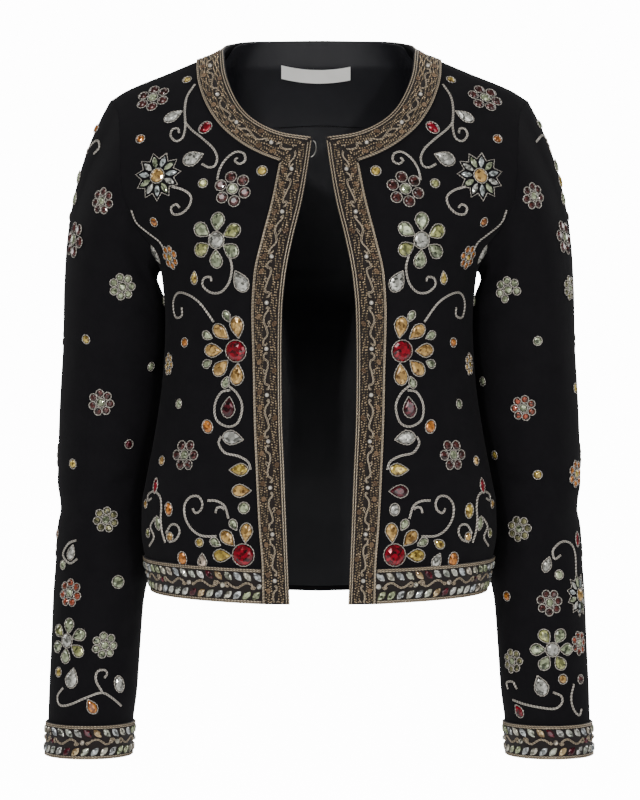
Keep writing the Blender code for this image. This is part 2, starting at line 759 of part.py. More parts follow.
def settle_strip(points, normals):
    """Keeps the neck strip's two short ends back from the shoulder seams."""
    for place in (0, -1):
        normals[:, place] = seam_normals(points[:, place], np.array((0.0, 0.0, 1.0)))
        points[:, place, 1] += HALF_SEAM


def joined_faces(main_shape, strip_shape):
    """Faces of the back's net with the neck strip welded to the middle of its top row."""
    rows, columns = main_shape[0] - 1, main_shape[1] - 1
    faces = net_faces(rows, columns, False, 0, False, True)
    start = main_shape[0] * main_shape[1]
    below = [rows * (columns + 1) + BACK_SIDE_COLUMNS + i for i in range(strip_shape[1])]
    for r in range(strip_shape[0]):
        above = [start + r * strip_shape[1] + i for i in range(strip_shape[1])]
        for i in range(strip_shape[1] - 1):
            rising = i >= BACK_NECK_COLUMNS
            faces += cell_faces(below[i:i + 2], above[i:i + 2], rising)
        below = above
    return faces


def wall_of(name, outer, inner, faces, finish_name):
    """Wall between two nets with the same faces, closed along their free edges."""
    count = len(outer)
    edges = {}
    for face in faces:
        for a, b in zip(face, tuple(face[1:]) + (face[0],)):
            edges.setdefault(tuple(sorted((a, b))), []).append((a, b))
    closed = [tuple(face) for face in faces]
    closed += [tuple(count + i for i in face[::-1]) for face in faces]
    for uses in edges.values():
        if len(uses) == 1:
            a, b = uses[0]
            closed.append((b, a, count + a, count + b))
    return finish(name, np.concatenate((outer, inner)), closed, finish_name)


def make_back():
    """The back, its hem band and its neckband."""
    points, normals, strip, strip_normals = back_net()
    faces = joined_faces(points.shape, strip.shape)
    outer = np.concatenate((points.reshape(-1, 3), strip.reshape(-1, 3)))
    all_normals = np.concatenate((normals.reshape(-1, 3), strip_normals.reshape(-1, 3)))
    wall_of("back", outer, outer - all_normals * CLOTH, faces, "black_crepe")

    def outward(u, v):
        return back_point(BACK_COLUMNS - u, v)

    def at_sides(net, net_normals):
        settle_edges(net, net_normals, 1, "side", False, 0)
        settle_edges(net, net_normals, 1, "side", False, -1)

    lifted_band("hem_band_back", outward, range(BACK_COLUMNS + 1), range(HEM_ROWS + 1),
                ((0, BACK_COLUMNS), (0, ROWS)), (6, 2), stone_heights, 1, at_sides,
                "jewelled_band", True)

    def neck_outward(u, w):
        return back_neck_point(-u, w)

    reach = range(-BACK_NECK_COLUMNS, BACK_NECK_COLUMNS + 1)
    lifted_band("neck_band_back", neck_outward, reach, (0, 0.5, 1),
                ((-BACK_NECK_COLUMNS, BACK_NECK_COLUMNS), (0, 1)), (3, 2), across_heights, 1,
                settle_strip, "beaded_band", True)


def make_inside():
    """The lining, the neck facing and the blank label, seen through the front opening."""
    points, normals, strip, strip_normals = back_net()
    edge_row = int(np.argmin(np.abs(points[:, BACK_COLUMNS // 2, 2] - FACING_EDGE)))
    under = CLOTH + LINING_EASE
    lining_rows = list(range(0, edge_row, 2)) + [edge_row]
    low = points[lining_rows, 1:-1] - normals[lining_rows, 1:-1] * under
    low[0, :, 2] += LINING_HEM
    low[-1, :, 2] -= SEAM_GAP
    deep = low - normals[lining_rows, 1:-1] * LINING_CLOTH
    net_wall("back_lining", low, deep, False, "black_satin", True)

    middle = slice(BACK_SIDE_COLUMNS + 1, BACK_COLUMNS - BACK_SIDE_COLUMNS)
    face_points = np.concatenate((points[edge_row:, middle], strip[:, 1:-1]))
    face_normals = np.concatenate((normals[edge_row:, middle], strip_normals[:, 1:-1]))
    near = face_points - face_normals * under
    near[-1, :, 2] -= SEAM_GAP
    far = near - face_normals * LINING_CLOTH
    net_wall("back_neck_facing", near, far, False, "black_satin", True)

    half_width, half_height = LABEL_SIZE[0] / 2, LABEL_SIZE[1] / 2
    x, z = np.meshgrid(np.linspace(-half_width, half_width, 9),
                       np.linspace(-half_height, half_height, 3))
    bow = LABEL_BOW * (np.abs(x) / half_width) ** 2
    z = z + LABEL_HEIGHT + bow
    y = depth(x, z, 1) - under - LINING_CLOTH - LABEL_LIFT
    front = np.stack((x, y, z), axis=-1)
    behind = front - np.array((0.0, LABEL_TAPE, 0.0))
    net_wall("neck_label", front, behind, False, "white_tape")


def sleeve_ring(z, count):
    """Level section of a sleeve, from its inner side round the front."""
    turn = 2 * math.pi * np.arange(count) / count
    outer = look_up(SLEEVE, SLEEVE_NAMES, "z", "outer", z)
    inner = look_up(SLEEVE, SLEEVE_NAMES, "z", "inner", z)
    middle_y = look_up(SLEEVE, SLEEVE_NAMES, "z", "y_middle", z)
    half_depth = look_up(SLEEVE, SLEEVE_NAMES, "z", "half_depth", z)
    x = (outer + inner) / 2 - (outer - inner) / 2 * np.cos(turn)
    y = middle_y - half_depth * np.sin(turn)
    out = np.stack((-np.cos(turn), -np.sin(turn), np.zeros(count)), axis=-1)
    dent = np.zeros(count)
    for fold_z, angle, deep, tall, wide in SLEEVE_FOLDS:
        away = (np.degrees(turn) - angle + 180) % 360 - 180
        dent += deep * MM * np.exp(-((z / MM - fold_z) / tall) ** 2 - (away / wide) ** 2)
    return np.stack((x, y, np.full(count, z)), axis=-1) - out * dent[:, None]


def sleeve_rings(count, band_rows):
    """All rings of a left sleeve, from the armhole to the cuff's edge."""
    half = count // 2
    v = np.linspace(ARM_START, ROWS, half + 1)
    front, front_normal, front_into = armhole_frame(v, -1)
    back, back_normal, back_into = armhole_frame(v, 1)
    loop = np.concatenate((front, back[-2:0:-1]))
    normal = np.concatenate((front_normal, back_normal[-2:0:-1]))
    into = np.concatenate((front_into, back_into[-2:0:-1]))
    start = loop + into * HALF_SEAM
    first = sleeve_ring(SLEEVE[0][0] * MM, count)
    reach = np.linalg.norm(first - start, axis=1, keepdims=True)
    leave = unit(into * CAP_LEAVE[0] + np.array((0.0, 0.0, CAP_LEAVE[1])))
    pull = start + leave * reach * CAP_PULLS[0]
    arrive = first + np.array((0.0, 0.0, 1.0)) * reach * CAP_PULLS[1]
    rings = []
    for row in range(CAP_ROWS):
        t = row / CAP_ROWS
        rings.append(start * (1 - t) ** 3 + pull * 3 * t * (1 - t) ** 2
                     + arrive * 3 * t * t * (1 - t) + first * t ** 3)
    heights = [row[0] * MM for row in SLEEVE]
    tail = heights[:-band_rows - 1]
    rings += [sleeve_ring(z, count) for z in tail]
    top = SLEEVE[-1][0] * MM + HEM_BAND
    for step in range(band_rows + 1):
        rings.append(sleeve_ring(top - HEM_BAND * step / band_rows, count))
    return np.array(rings), normal


def ring_normals(rings):
    """Outward normals of a stack of rings."""
    around = np.roll(rings, -1, axis=1) - np.roll(rings, 1, axis=1)
    down = np.gradient(rings, axis=0)
    return unit(np.cross(down, around))


def make_sleeve(name_end, sign):
    """One sleeve with its jewelled cuff band."""
    count = 2 * ARM_ROWS
    rings, seam_normal = sleeve_rings(count, HEM_ROWS)
    normals = ring_normals(rings)
    normals[0] = seam_normal
    inner = rings - normals * CLOTH
    outer = rings.copy()
    lift = np.zeros(rings.shape[:2])
    turn = np.degrees(2 * math.pi * np.arange(count) / count)[None, :]
    for z, angle, radius, height in SLEEVE_MOUNDS:
        away = (turn - angle + 180) % 360 - 180
        far = np.hypot(rings[..., 2] / MM - z, np.radians(away) * SLEEVE_RADIUS / MM)
        lift = np.maximum(lift, height * MM * np.clip(1.15 - (far / (radius * 1.15)) ** 2, 0, 1))
    lift[:2] = 0.0
    lift[-HEM_ROWS - 2:] = 0.0
    outer = outer + normals * lift[..., None]
    net_wall("sleeve_" + name_end, mirrored(outer, sign), mirrored(inner, sign), True,
             "black_crepe")

    low = rings[-HEM_ROWS - 1:] + normals[-HEM_ROWS - 1:] * SEAM_GAP
    fine_rings, _ = sleeve_rings(2 * count, 2 * HEM_ROWS)
    fine = fine_rings[-2 * HEM_ROWS - 1:]
    fine_normals = ring_normals(fine)
    heights = stone_heights(fine.shape[:2]) + SEAM_GAP + BAND_CLOTH
    net_wall("cuff_band_" + name_end, mirrored(fine + fine_normals * heights[..., None], sign),
             mirrored(low, sign), True, "jewelled_band")


def make_eye():
    """The wire bar of the neck fastening, sewn to the right front's edge."""
    top, bottom = EYE_ENDS
    data = bpy.data.curves.new("neck_eye", "CURVE")
    data.dimensions = "3D"
    data.bevel_depth = WIRE_RADIUS
    data.bevel_resolution = 1
    data.use_fill_caps = True
    spline = data.splines.new("POLY")
    spline.points.add(EYE_STEPS)
    for i in range(EYE_STEPS + 1):
        part = i / EYE_STEPS
        z = top + (bottom - top) * part
        edge = look_up(FRONT_EDGE, EDGE_NAMES, "z", "opening", z)
        out = EYE_REACH * math.sin(math.pi * part) ** 0.5
        x = -(edge - SEAM_GAP - WIRE_RADIUS * 1.3) + out
        y = depth(-edge, z, -1) + CLOTH / 2
        spline.points[i].co = (x, y, z, 1.0)
    curve = bpy.data.objects.new("neck_eye_curve", data)
    bpy.context.collection.objects.link(curve)
    mesh = bpy.data.meshes.new_from_object(curve)
    bpy.data.objects.remove(curve)
    points = [tuple(vertex.co) for vertex in mesh.vertices]
    faces = [tuple(face.vertices) for face in mesh.polygons]
    finish("neck_eye", points, faces, "silver_wire")


def main():
    """Builds every piece of the jacket."""
    for old in list(bpy.data.objects):
        bpy.data.objects.remove(old, do_unlink=True)
    for name_end, sign in (("left", 1.0), ("right", -1.0)):
        make_front("front_" + name_end, sign)
        make_front_bands(name_end, sign)
        make_sleeve(name_end, sign)
    make_back()
    make_inside()
    make_eye()


main()
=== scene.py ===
"""Looks of a cropped, jewelled, collarless jacket that keeps its worn shape, in a plain studio.

Metres, +Z up, the front faces -Y and +X is the wearer's left. Tables are in millimetres in the
same frame, and the motif tables were read off in real sizes.
"""

import logging
import math
from dataclasses import dataclass, field
from enum import Enum
from typing import Sequence

import bpy
import numpy as np
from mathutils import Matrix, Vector
from mathutils.bvhtree import BVHTree


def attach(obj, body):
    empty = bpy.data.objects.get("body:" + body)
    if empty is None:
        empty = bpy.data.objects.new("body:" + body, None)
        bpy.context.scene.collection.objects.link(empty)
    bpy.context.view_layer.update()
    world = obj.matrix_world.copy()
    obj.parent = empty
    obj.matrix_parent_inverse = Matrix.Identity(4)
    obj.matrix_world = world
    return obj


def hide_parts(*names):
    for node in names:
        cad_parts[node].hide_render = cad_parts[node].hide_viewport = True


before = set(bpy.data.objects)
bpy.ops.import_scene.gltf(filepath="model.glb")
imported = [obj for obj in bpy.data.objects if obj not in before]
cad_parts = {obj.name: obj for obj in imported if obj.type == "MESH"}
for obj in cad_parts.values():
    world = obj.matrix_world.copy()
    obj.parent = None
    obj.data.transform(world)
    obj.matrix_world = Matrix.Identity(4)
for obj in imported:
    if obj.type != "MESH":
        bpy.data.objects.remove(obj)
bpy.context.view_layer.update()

MM = 0.001
Net = np.ndarray
NetPair = tuple[Net, Net]
Pair = tuple[float, float]
Triple = tuple[float, float, float]
Rows = Sequence[Sequence[float]]
Piece = bpy.types.Object
Socket = bpy.types.NodeSocket
Material = bpy.types.Material
log = logging.getLogger("jacket")
CAMERA_PLACE = (0.0009, -2.5, -0.3206)
UP = np.array((0.0, 0.0, 1.0))
WHITE = (1.0, 1.0, 1.0)
HALF_SEAM = 0.00018   # half the gap of a butted seam


class Slot(Enum):
    """Material slots of the record."""

    CREPE = "black_crepe"
    BEADED = "beaded_band"
    JEWELLED = "jewelled_band"
    SATIN = "black_satin"
    TAPE = "white_tape"
    WIRE = "silver_wire"
    BEADS = "seed_beads"
    CORD = "silver_cord"
    CLEAR = "clear_stones"
    TOPAZ = "topaz_stones"
    GREEN = "green_stones"
    RED = "red_stones"
    PEARLS = "pearls"


@dataclass(frozen=True)
class Sizes:
    """Driving sizes of the jacket, as in the CAD part, in metres and in cells."""

    cloth: float = 0.0016
    lining_cloth: float = 0.0010
    lining_ease: float = 0.0018
    band_cloth: float = 0.0014
    seam_gap: float = 0.0003
    tuck: float = 0.0025
    hem_front: float = -0.5007
    hem_side: float = -0.4940
    hem_back: float = -0.5030
    hem_band: float = 0.0310
    underarm: float = -0.2020
    neck_corner_z: float = -0.0880
    mitre_z: float = -0.1100
    meet_x: float = 0.1120
    meet_z: float = -0.0092
    back_band_low: float = -0.0060
    chest_line: float = -0.1900
    front_dome: float = 1.35
    back_dome: float = 2.0
    power: float = 2.3
    facing_edge: float = -0.0600
    hem_rows: int = 2
    corner_row: int = 29
    arm_start: int = 23
    arm_rows: int = 12
    rows: int = 35
    neck_rows: int = 6
    band_columns: int = 2
    front_columns: int = 9
    back_neck_columns: int = 4
    back_side_columns: int = 3
    back_columns: int = 14


def smooth(xs: Net, ys: Net, at: Net) -> Net:
    """Smooth curve through points that never overshoots them.

    Args:
        xs: places of the points, increasing.
        ys: values at the points.
        at: places to look up.

    Returns:
        The curve's values at those places.
    """
    step = np.diff(xs)
    slope = np.diff(ys) / step
    tangent = np.zeros(len(xs))
    tangent[0], tangent[-1] = slope[0], slope[-1]
    for i in range(1, len(xs) - 1):
        if slope[i - 1] * slope[i] > 0:
            before = 2 * step[i] + step[i - 1]
            after = step[i] + 2 * step[i - 1]
            tangent[i] = (before + after) / (before / slope[i - 1] + after / slope[i])
    at = np.clip(at, xs[0], xs[-1])
    i = np.clip(np.searchsorted(xs, at) - 1, 0, len(xs) - 2)
    t = (at - xs[i]) / step[i]
    return (ys[i] * (1 + 2 * t) * (1 - t) ** 2 + step[i] * tangent[i] * t * (1 - t) ** 2
            + ys[i + 1] * t * t * (3 - 2 * t) + step[i] * tangent[i + 1] * t * t * (t - 1))


def unit(vectors: Net) -> Net:
    """Vectors scaled to length one."""
    return vectors / np.maximum(np.linalg.norm(vectors, axis=-1, keepdims=True), 1e-12)


def arc_lengths(points: Net) -> Net:
    """Length along a curve of points up to each of them."""
    return np.concatenate(([0.0], np.cumsum(np.linalg.norm(np.diff(points, axis=0), axis=1))))


def along(points: Net, part: Net) -> list[Net]:
    """Place at a share (0 to 1) of the length of a curve through points."""
    lengths = arc_lengths(points)
    at = part * lengths[-1]
    return [smooth(lengths, points[:, i], at) for i in range(points.shape[1])]


@dataclass(frozen=True)
class Table:
    """A short table in millimetres with named columns."""

    names: tuple[str, ...]
    rows: tuple[tuple[float, ...], ...]

    def column(self, name: str) -> Net:
        """One named column, in metres."""
        return np.array([row[self.names.index(name)] for row in self.rows], float) * MM

    def look_up(self, key: str, name: str, at: Net) -> Net:
        """Value of one column at places along another.

        Args:
            key: the column that the places are along.
            name: the column to look up.
            at: the places, in metres.

        Returns:
            The column's smooth values there, in metres.
        """
        keys, values = self.column(key), self.column(name)
        order = np.argsort(keys)
        return smooth(keys[order], values[order], at)


TORSO = Table(("z", "half_width", "front", "back"), (
    (-503, 150, 107, 98), (-475, 157, 108, 98), (-440, 163, 108, 97), (-415, 162.5, 107, 94),
    (-395, 159, 106, 91), (-350, 150.5, 103, 86), (-300, 143.5, 103, 82), (-250, 141, 110, 87),
    (-215, 143.5, 116, 93), (-202, 145.5, 117, 94), (-196, 148, 118, 95), (-183, 155, 118, 95),
    (-167, 171, 118, 95), (-147, 190, 118, 95), (-120, 207, 118, 95), (-100, 220, 118, 95),
    (-75, 233, 118, 95), (60, 245, 118, 95)))
SHOULDER = Table(("x", "front", "back"), (
    (0, 45, 58), (30, 38, 55), (55, 25, 44), (72, 12, 29), (80, 6, 17), (87.6, 0, 0),
    (112, -9.2, -9.2), (141.7, -21.6, -21.6), (162.8, -29.9, -29.9), (178, -36.8, -36.8),
    (192, -45.5, -45.5), (250, -70, -70)))
FRONT_EDGE = Table(("z", "opening", "band"), (
    (-501, 25.8, 49.5), (-468, 27.3, 50.2), (-432, 28.7, 53.0), (-382, 30.6, 55.6),
    (-337, 32.5, 57.4), (-290, 33.0, 58.3), (-245, 32.3, 59.3), (-211, 29.2, 57.4),
    (-177, 22.5, 49.7), (-145, 14.8, 41.6), (-110, 9.0, 34.8), (-88, 6.0, 30.0)))
FRONT_NECK = Table(("x", "y", "z", "band_x", "band_z"), (
    (6.0, -87.0, -88.0, 34.8, -110.0), (30.5, -83.0, -84.3, 52.3, -102.8),
    (53.2, -76.0, -74.3, 72.2, -90.5), (68.5, -63.0, -60.0, 92.3, -70.5),
    (79.4, -45.0, -39.2, 104.5, -48.5), (84.7, -30.0, -22.1, 110.8, -26.0),
    (87.6, 0.0, 0.0, 112.0, -9.2)))
BACK_NECK = Table(("x", "y", "z", "band_x", "band_z"), (
    (87.6, 0.0, 0.0, 112.0, -9.2), (85.5, 17.0, 5.5, 107.0, -12.5),
    (76.0, 37.0, 12.0, 91.0, -10.5), (57.0, 52.5, 16.0, 64.0, -7.5),
    (30.0, 60.0, 17.5, 32.0, -6.5), (0.0, 61.5, 18.0, 0.0, -6.0)))
ARMHOLE = Table(("x", "z"), (
    (145.5, -202), (147.5, -195), (151, -183), (163, -167), (173, -147), (176.5, -137),
    (179.5, -100), (181, -75), (184, -57), (192, -45.5)))
SLEEVE = Table(("z", "outer", "inner", "y_middle", "half_depth"), (
    (-235, 236.3, 141.2, 17, 57), (-270, 237.8, 139.5, 27, 56), (-305, 240.5, 141.5, 34, 54),
    (-340, 242.6, 146.0, 38, 52), (-375, 243.8, 152.5, 41, 51), (-402, 244.4, 156.5, 43, 50),
    (-419, 241.8, 158.8, 43.5, 48), (-436, 244.8, 159.2, 44, 49),
    (-470, 246.2, 157.8, 43, 48.5), (-510, 248.6, 164.0, 40, 47.5),
    (-550, 250.0, 166.8, 37.5, 46.5), (-590, 251.6, 169.5, 35, 45),
    (-619, 252.4, 173.2, 33.5, 43.5), (-634.5, 253.0, 174.6, 33, 43),
    (-650, 253.5, 175.7, 32.5, 42.5)))
# Folds of the CAD sleeve: height, direction round it, depth, half height, half width in degrees
SLEEVE_FOLDS = ((-398, 60, 3.0, 13, 60), (-428, 120, 2.5, 12, 55), (-372, 20, 2.0, 12, 45),
                (-300, 40, 2.0, 20, 40), (-560, 65, 2.0, 22, 40))

# Soft creases: from x, z to x, z in the front view, how deep, how wide; below 0 is a ridge
FRONT_CREASES = (
    (138, -215, 96, -330, 1.6, 9), (150, -235, 128, -352, 1.3, 8), (146, -318, 108, -372, 1.3, 8),
    (152, -372, 100, -398, 1.4, 7), (62, -150, 70, -262, -0.9, 13), (120, -150, 158, -132, 1.2, 9),
    (140, -168, 116, -208, 1.3, 9), (100, -420, 92, -470, 1.0, 9), (132, -405, 140, -466, 1.2, 8))
BACK_CREASES = (
    (0, -60, 0, -300, 0.7, 6), (60, -330, 128, -352, 1.7, 9), (-58, -345, -130, -360, 1.6, 9),
    (20, -372, 118, -392, 1.3, 8), (-24, -384, -112, -398, 1.5, 8), (88, -120, 104, -280, 1.6, 12),
    (-84, -118, -108, -290, 1.5, 12), (40, -410, 52, -468, 1.3, 10), (-52, -415, -46, -468, 1.4, 10),
    (132, -150, 92, -196, 1.6, 10), (-134, -152, -96, -190, 1.5, 10), (110, -410, 120, -466, 1.0, 9))
LINING_FOLDS = (
    (-46, -150, -58, -480, -2.4, 13), (52, -190, 40, -485, -2.2, 14),
    (-92, -220, -98, -480, -1.6, 12), (96, -230, 88, -480, -1.8, 12),
    (18, -320, 24, -490, -1.1, 9), (-16, -260, -22, -430, -0.9, 8))
# Creases of a sleeve: from height, turn to height, turn, how deep, how wide
SLEEVE_CREASES = (
    (-150, 60, -232, 28, 1.8, 8), (-140, 300, -226, 340, 1.8, 8), (-205, 80, -262, 30, 1.3, 7),
    (-385, 30, -412, 120, 1.5, 6), (-404, 150, -420, 235, 1.3, 6), (-436, 20, -462, 80, 1.2, 6),
    (-360, 240, -392, 330, 1.6, 7), (-415, 250, -432, 340, 1.4, 6), (-520, 40, -590, 66, 1.2, 7),
    (-500, 300, -590, 280, 1.4, 8), (-270, 110, -352, 132, 0.9, 9), (-290, 250, -370, 232, 1.2, 9),
    (-180, 200, -260, 214, -0.8, 10), (-470, 150, -560, 168, 0.8, 9))


def trough(across: Net, up: Net, creases: Rows) -> Net:
    """Depth of soft, uneven creases that run along straight lines and fade out at their ends.

    Args:
        across: first coordinate of each point, in millimetres.
        up: second coordinate of each point, in millimetres.
        creases: rows of start, end, depth and width in millimetres.

    Returns:
        How far each point goes in, in metres.
    """
    total = np.zeros(np.shape(across))
    for a_x, a_z, b_x, b_z, deep, wide in creases:
        way = np.array((b_x - a_x, b_z - a_z), float)
        length = float(np.hypot(*way))
        way /= length
        part = ((across - a_x) * way[0] + (up - a_z) * way[1]) / length
        bend = 2.5 * np.sin(part * 5.0 + a_x * 0.1)
        off = (across - a_x) * way[1] - (up - a_z) * way[0] + bend
        fade = np.clip(part / 0.35, 0, 1) * np.clip((1 - part) / 0.35, 0, 1)
        fade = fade * fade * (3 - 2 * fade)
        uneven = 0.8 + 0.2 * np.sin(part * 9.0 + deep * 7)
        ridge = 0.35 * np.exp(-((np.abs(off) - 1.9 * wide) / (0.9 * wide)) ** 2)
        total += deep * fade * uneven * (np.exp(-(off / wide) ** 2) - ridge)
    return total * MM


@dataclass
class Jacket:
    """The shapes that all pieces share: fronts, back and sleeves as smooth surfaces."""

    sizes: Sizes = field(default_factory=Sizes)

    def torso_width(self, z: Net) -> Net:
        """Half width of the torso's section at a height."""
        return TORSO.look_up("z", "half_width", z)

    def depth(self, x: Net, z: Net, side: int) -> Net:
        """How far the cloth stands in front (side -1) or behind (side 1) at a front view point."""
        s = self.sizes
        face, dome = ("front", s.front_dome) if side < 0 else ("back", s.back_dome)
        reach = TORSO.look_up("z", face, z)
        ridge = SHOULDER.look_up("x", face, np.abs(x))
        share = np.clip(np.abs(x) / self.torso_width(z), 0, 1)
        round_in = (1 - share ** s.power) ** (1 / s.power)
        up = np.clip((z - s.chest_line) / (ridge - s.chest_line), 0, 1)
        return side * reach * round_in * (1 - up ** dome) ** (1 / dome)

    def turn_of(self, x: Net, z: Net) -> Net:
        """Direction round the section, 0 at the centre and a quarter turn at the side."""
        share = np.clip(x / self.torso_width(z), 0, 1)
        return np.arcsin(share ** (self.sizes.power / 2))

    def side_line(self, v: Net) -> NetPair:
        """Side seam and armhole of a panel, by row."""
        s = self.sizes
        z_side = np.interp(v, (0, s.hem_rows, s.arm_start),
                           (s.hem_side, s.hem_side + s.hem_band, s.underarm))
        arm = np.clip((v - s.arm_start) / s.arm_rows, 0, 1)
        arm_x, arm_z = along(np.array(ARMHOLE.rows) * MM, arm)
        on_arm = v > s.arm_start
        return np.where(on_arm, arm_x, self.torso_width(z_side)), np.where(on_arm, arm_z, z_side)

    def neck_edge(self, table: Table, part: Net) -> list[Net]:
        """Point of a neckline at a share of its length."""
        return along(np.stack([table.column(n) for n in ("x", "y", "z")], axis=-1), part)

    def neck_band_edge(self, table: Table, part: Net, side: int) -> NetPair:
        """Front view point of the outer edge of a neckline's band at a share of its length."""
        x, z = table.column("band_x"), table.column("band_z")
        found = along(np.stack((x, self.depth(x, z, side), z), axis=-1), part)
        return found[0], found[2]

    def front_line(self, v: Net, edge: str) -> NetPair:
        """Front edge and neckline ("opening") or the bands' outer edge ("band"), by row."""
        s = self.sizes
        corner_z = s.neck_corner_z if edge == "opening" else s.mitre_z
        z_edge = np.interp(v, (0, s.hem_rows, s.corner_row),
                           (s.hem_front, s.hem_front + s.hem_band, corner_z))
        x_edge = FRONT_EDGE.look_up("z", edge, z_edge)
        part = np.clip((v - s.corner_row) / s.neck_rows, 0, 1)
        if edge == "opening":
            neck_x, _, neck_z = self.neck_edge(FRONT_NECK, part)
        else:
            neck_x, neck_z = self.neck_band_edge(FRONT_NECK, part, -1)
        on_neck = v > s.corner_row
        return np.where(on_neck, neck_x, x_edge), np.where(on_neck, neck_z, z_edge)

    def between(self, start: NetPair, stop: NetPair, share: Net, rise: Net, v: Net) -> NetPair:
        """Front view points between two lines, evenly round the section.

        Args:
            start: x and z of the first line, by row.
            stop: x and z of the second line, by row.
            share: how far across, 0 to 1.
            rise: how far the top row stands off a straight line.
            v: rows.

        Returns:
            x and z of the points.
        """
        x_a, z_a = start
        x_b, z_b = stop
        z = z_a + (z_b - z_a) * share
        turn = self.turn_of(x_a, z_a) + (self.turn_of(x_b, z_b) - self.turn_of(x_a, z_a)) * share
        round_x = self.torso_width(z) * np.sin(turn) ** (2 / self.sizes.power)
        near_top = np.clip(v / self.sizes.rows, 0, 1) ** 4
        return (round_x + (x_a + (x_b - x_a) * share - round_x) * near_top, z + near_top * rise)

    def shoulder_rise(self, share: Net) -> Net:
        """How far the shoulder line stands off a straight line at a share of its length."""
        start_x, tip_x = self.sizes.meet_x, ARMHOLE.rows[-1][0] * MM
        start = SHOULDER.look_up("x", "front", start_x)
        tip = SHOULDER.look_up("x", "front", tip_x)
        here = SHOULDER.look_up("x", "front", start_x + (tip_x - start_x) * share)
        return here - start - (tip - start) * share

    def plain_front(self, u: Net, v: Net) -> Net:
        """Point of a left front's outer face; u counts columns from the edge, v rows up."""
        s = self.sizes
        u, v = np.broadcast_arrays(np.asarray(u, float), np.asarray(v, float))
        band = self.front_line(v, "band")
        in_band = np.clip(u / s.band_columns, 0, 1)
        beyond = np.clip((u - s.band_columns) / (s.front_columns - s.band_columns), 0, 1)
        band_x, band_z = self.between(self.front_line(v, "opening"), band, in_band, np.zeros_like(u), v)
        body_x, body_z = self.between(band, self.side_line(v), beyond, self.shoulder_rise(beyond), v)
        x = np.where(u <= s.band_columns, band_x, body_x)
        z = np.where(u <= s.band_columns, band_z, body_z)
        return np.stack((x, self.depth(x, z, -1), z), axis=-1)

    def plain_back(self, u: Net, v: Net) -> Net:
        """Point of the back's outer face; u counts columns from the right side seam."""
        s = self.sizes
        u, v = np.broadcast_arrays(np.asarray(u, float), np.asarray(v, float))
        half = s.back_columns / 2
        out = np.abs(u - half)
        side = self.side_line(v)
        middle_z = np.interp(v, (0, s.hem_rows, s.rows),
                             (s.hem_back, s.hem_back + s.hem_band, s.back_band_low))
        near_top = np.clip(v / s.rows, 0, 1) ** 4
        share = s.back_neck_columns / half
        tip_x, tip_z = (value * MM for value in ARMHOLE.rows[-1])
        strip_z = middle_z + (side[1] - middle_z) * share
        strip_x = self.torso_width(strip_z) * np.sin(self.turn_of(*side) * share) ** (2 / s.power)
        top_z = s.back_band_low * (1 - share) + tip_z * share
        top_x = self.torso_width(top_z) * np.sin(self.turn_of(tip_x, tip_z) * share) ** (2 / s.power)
        strip = (strip_x + (s.meet_x - top_x) * near_top, strip_z + (s.meet_z - top_z) * near_top)
        inner = np.clip(out / s.back_neck_columns, 0, 1)
        outer = np.clip((out - s.back_neck_columns) / s.back_side_columns, 0, 1)
        neck_x, neck_z = self.neck_band_edge(BACK_NECK, 1 - inner, 1)
        flat_x, flat_z = self.between((np.zeros_like(v), middle_z), strip, inner, np.zeros_like(u), v)
        straight_z = s.back_band_low + (s.meet_z - s.back_band_low) * inner
        in_x = flat_x + (neck_x - strip[0] * inner) * near_top
        in_z = flat_z + (neck_z - straight_z) * near_top
        out_x, out_z = self.between(strip, side, outer, self.shoulder_rise(outer), v)
        x = np.where(out <= s.back_neck_columns, in_x, out_x)
        z = np.where(out <= s.back_neck_columns, in_z, out_z)
        return np.stack((np.where(u < half, -x, x), self.depth(x, z, 1), z), axis=-1)

    def back_neck(self, u: Net, w: Net) -> Net:
        """Point of the back between its neckband's outer edge (w 0) and the neckline (w 1)."""
        u, w = np.broadcast_arrays(np.asarray(u, float), np.asarray(w, float))
        out = np.abs(u) / self.sizes.back_neck_columns
        low_x, low_z = self.neck_band_edge(BACK_NECK, 1 - out, 1)
        low = np.stack((low_x, self.depth(low_x, low_z, 1), low_z), axis=-1)
        top = np.stack(self.neck_edge(BACK_NECK, 1 - out), axis=-1)
        points = low + (top - low) * w[..., None]
        points[..., 0] *= np.where(u < 0, -1.0, 1.0)
        return points

    def dents(self, points: Net, v: Net, edge: Net, creases: Rows) -> Net:
        """How deep the creases go, fading towards hem and shoulder and by edge at the sides."""
        s = self.sizes
        edge = edge * np.clip((v - s.hem_rows + 0.4) / 2.0, 0, 1) * np.clip((s.rows - v) / 3.0, 0, 1)
        return trough(points[..., 0] / MM, points[..., 2] / MM, creases) * edge

    def front(self, u: Net, v: Net) -> Net:
        """The left front's face with its soft creases, which fade out at seams and bands."""
        s = self.sizes
        points = self.plain_front(u, v)
        edge = np.clip((u - s.band_columns) / 1.2, 0, 1) * np.clip((s.front_columns - u) / 0.8, 0, 1)
        points[..., 1] += self.dents(points, v, edge, FRONT_CREASES)
        return points

    def back(self, u: Net, v: Net) -> Net:
        """The back's face with its soft creases."""
        points = self.plain_back(u, v)
        edge = np.clip(u / 0.8, 0, 1) * np.clip((self.sizes.back_columns - u) / 0.8, 0, 1)
        points[..., 1] -= self.dents(points, v, edge, BACK_CREASES)
        return points

    def armhole_frame(self, v: Net, side: int) -> tuple[Net, Net, Net]:
        """Points of the armhole, the normal and the way into the sleeve there."""
        x, z = self.side_line(v)
        points = np.stack((x, self.depth(x, z, side), z), axis=-1)
        middle = (z.max() + z.min()) / 2
        radial = np.stack((np.zeros_like(x), points[..., 1], (z - middle) * 0.75), axis=-1)
        normal = unit(unit(radial) + np.array((0.35, 0.0, 0.0)))
        into = unit(np.cross(normal, np.gradient(points, axis=0)) * side)
        return points, normal, np.where(into[..., :1] < 0, -into, into)

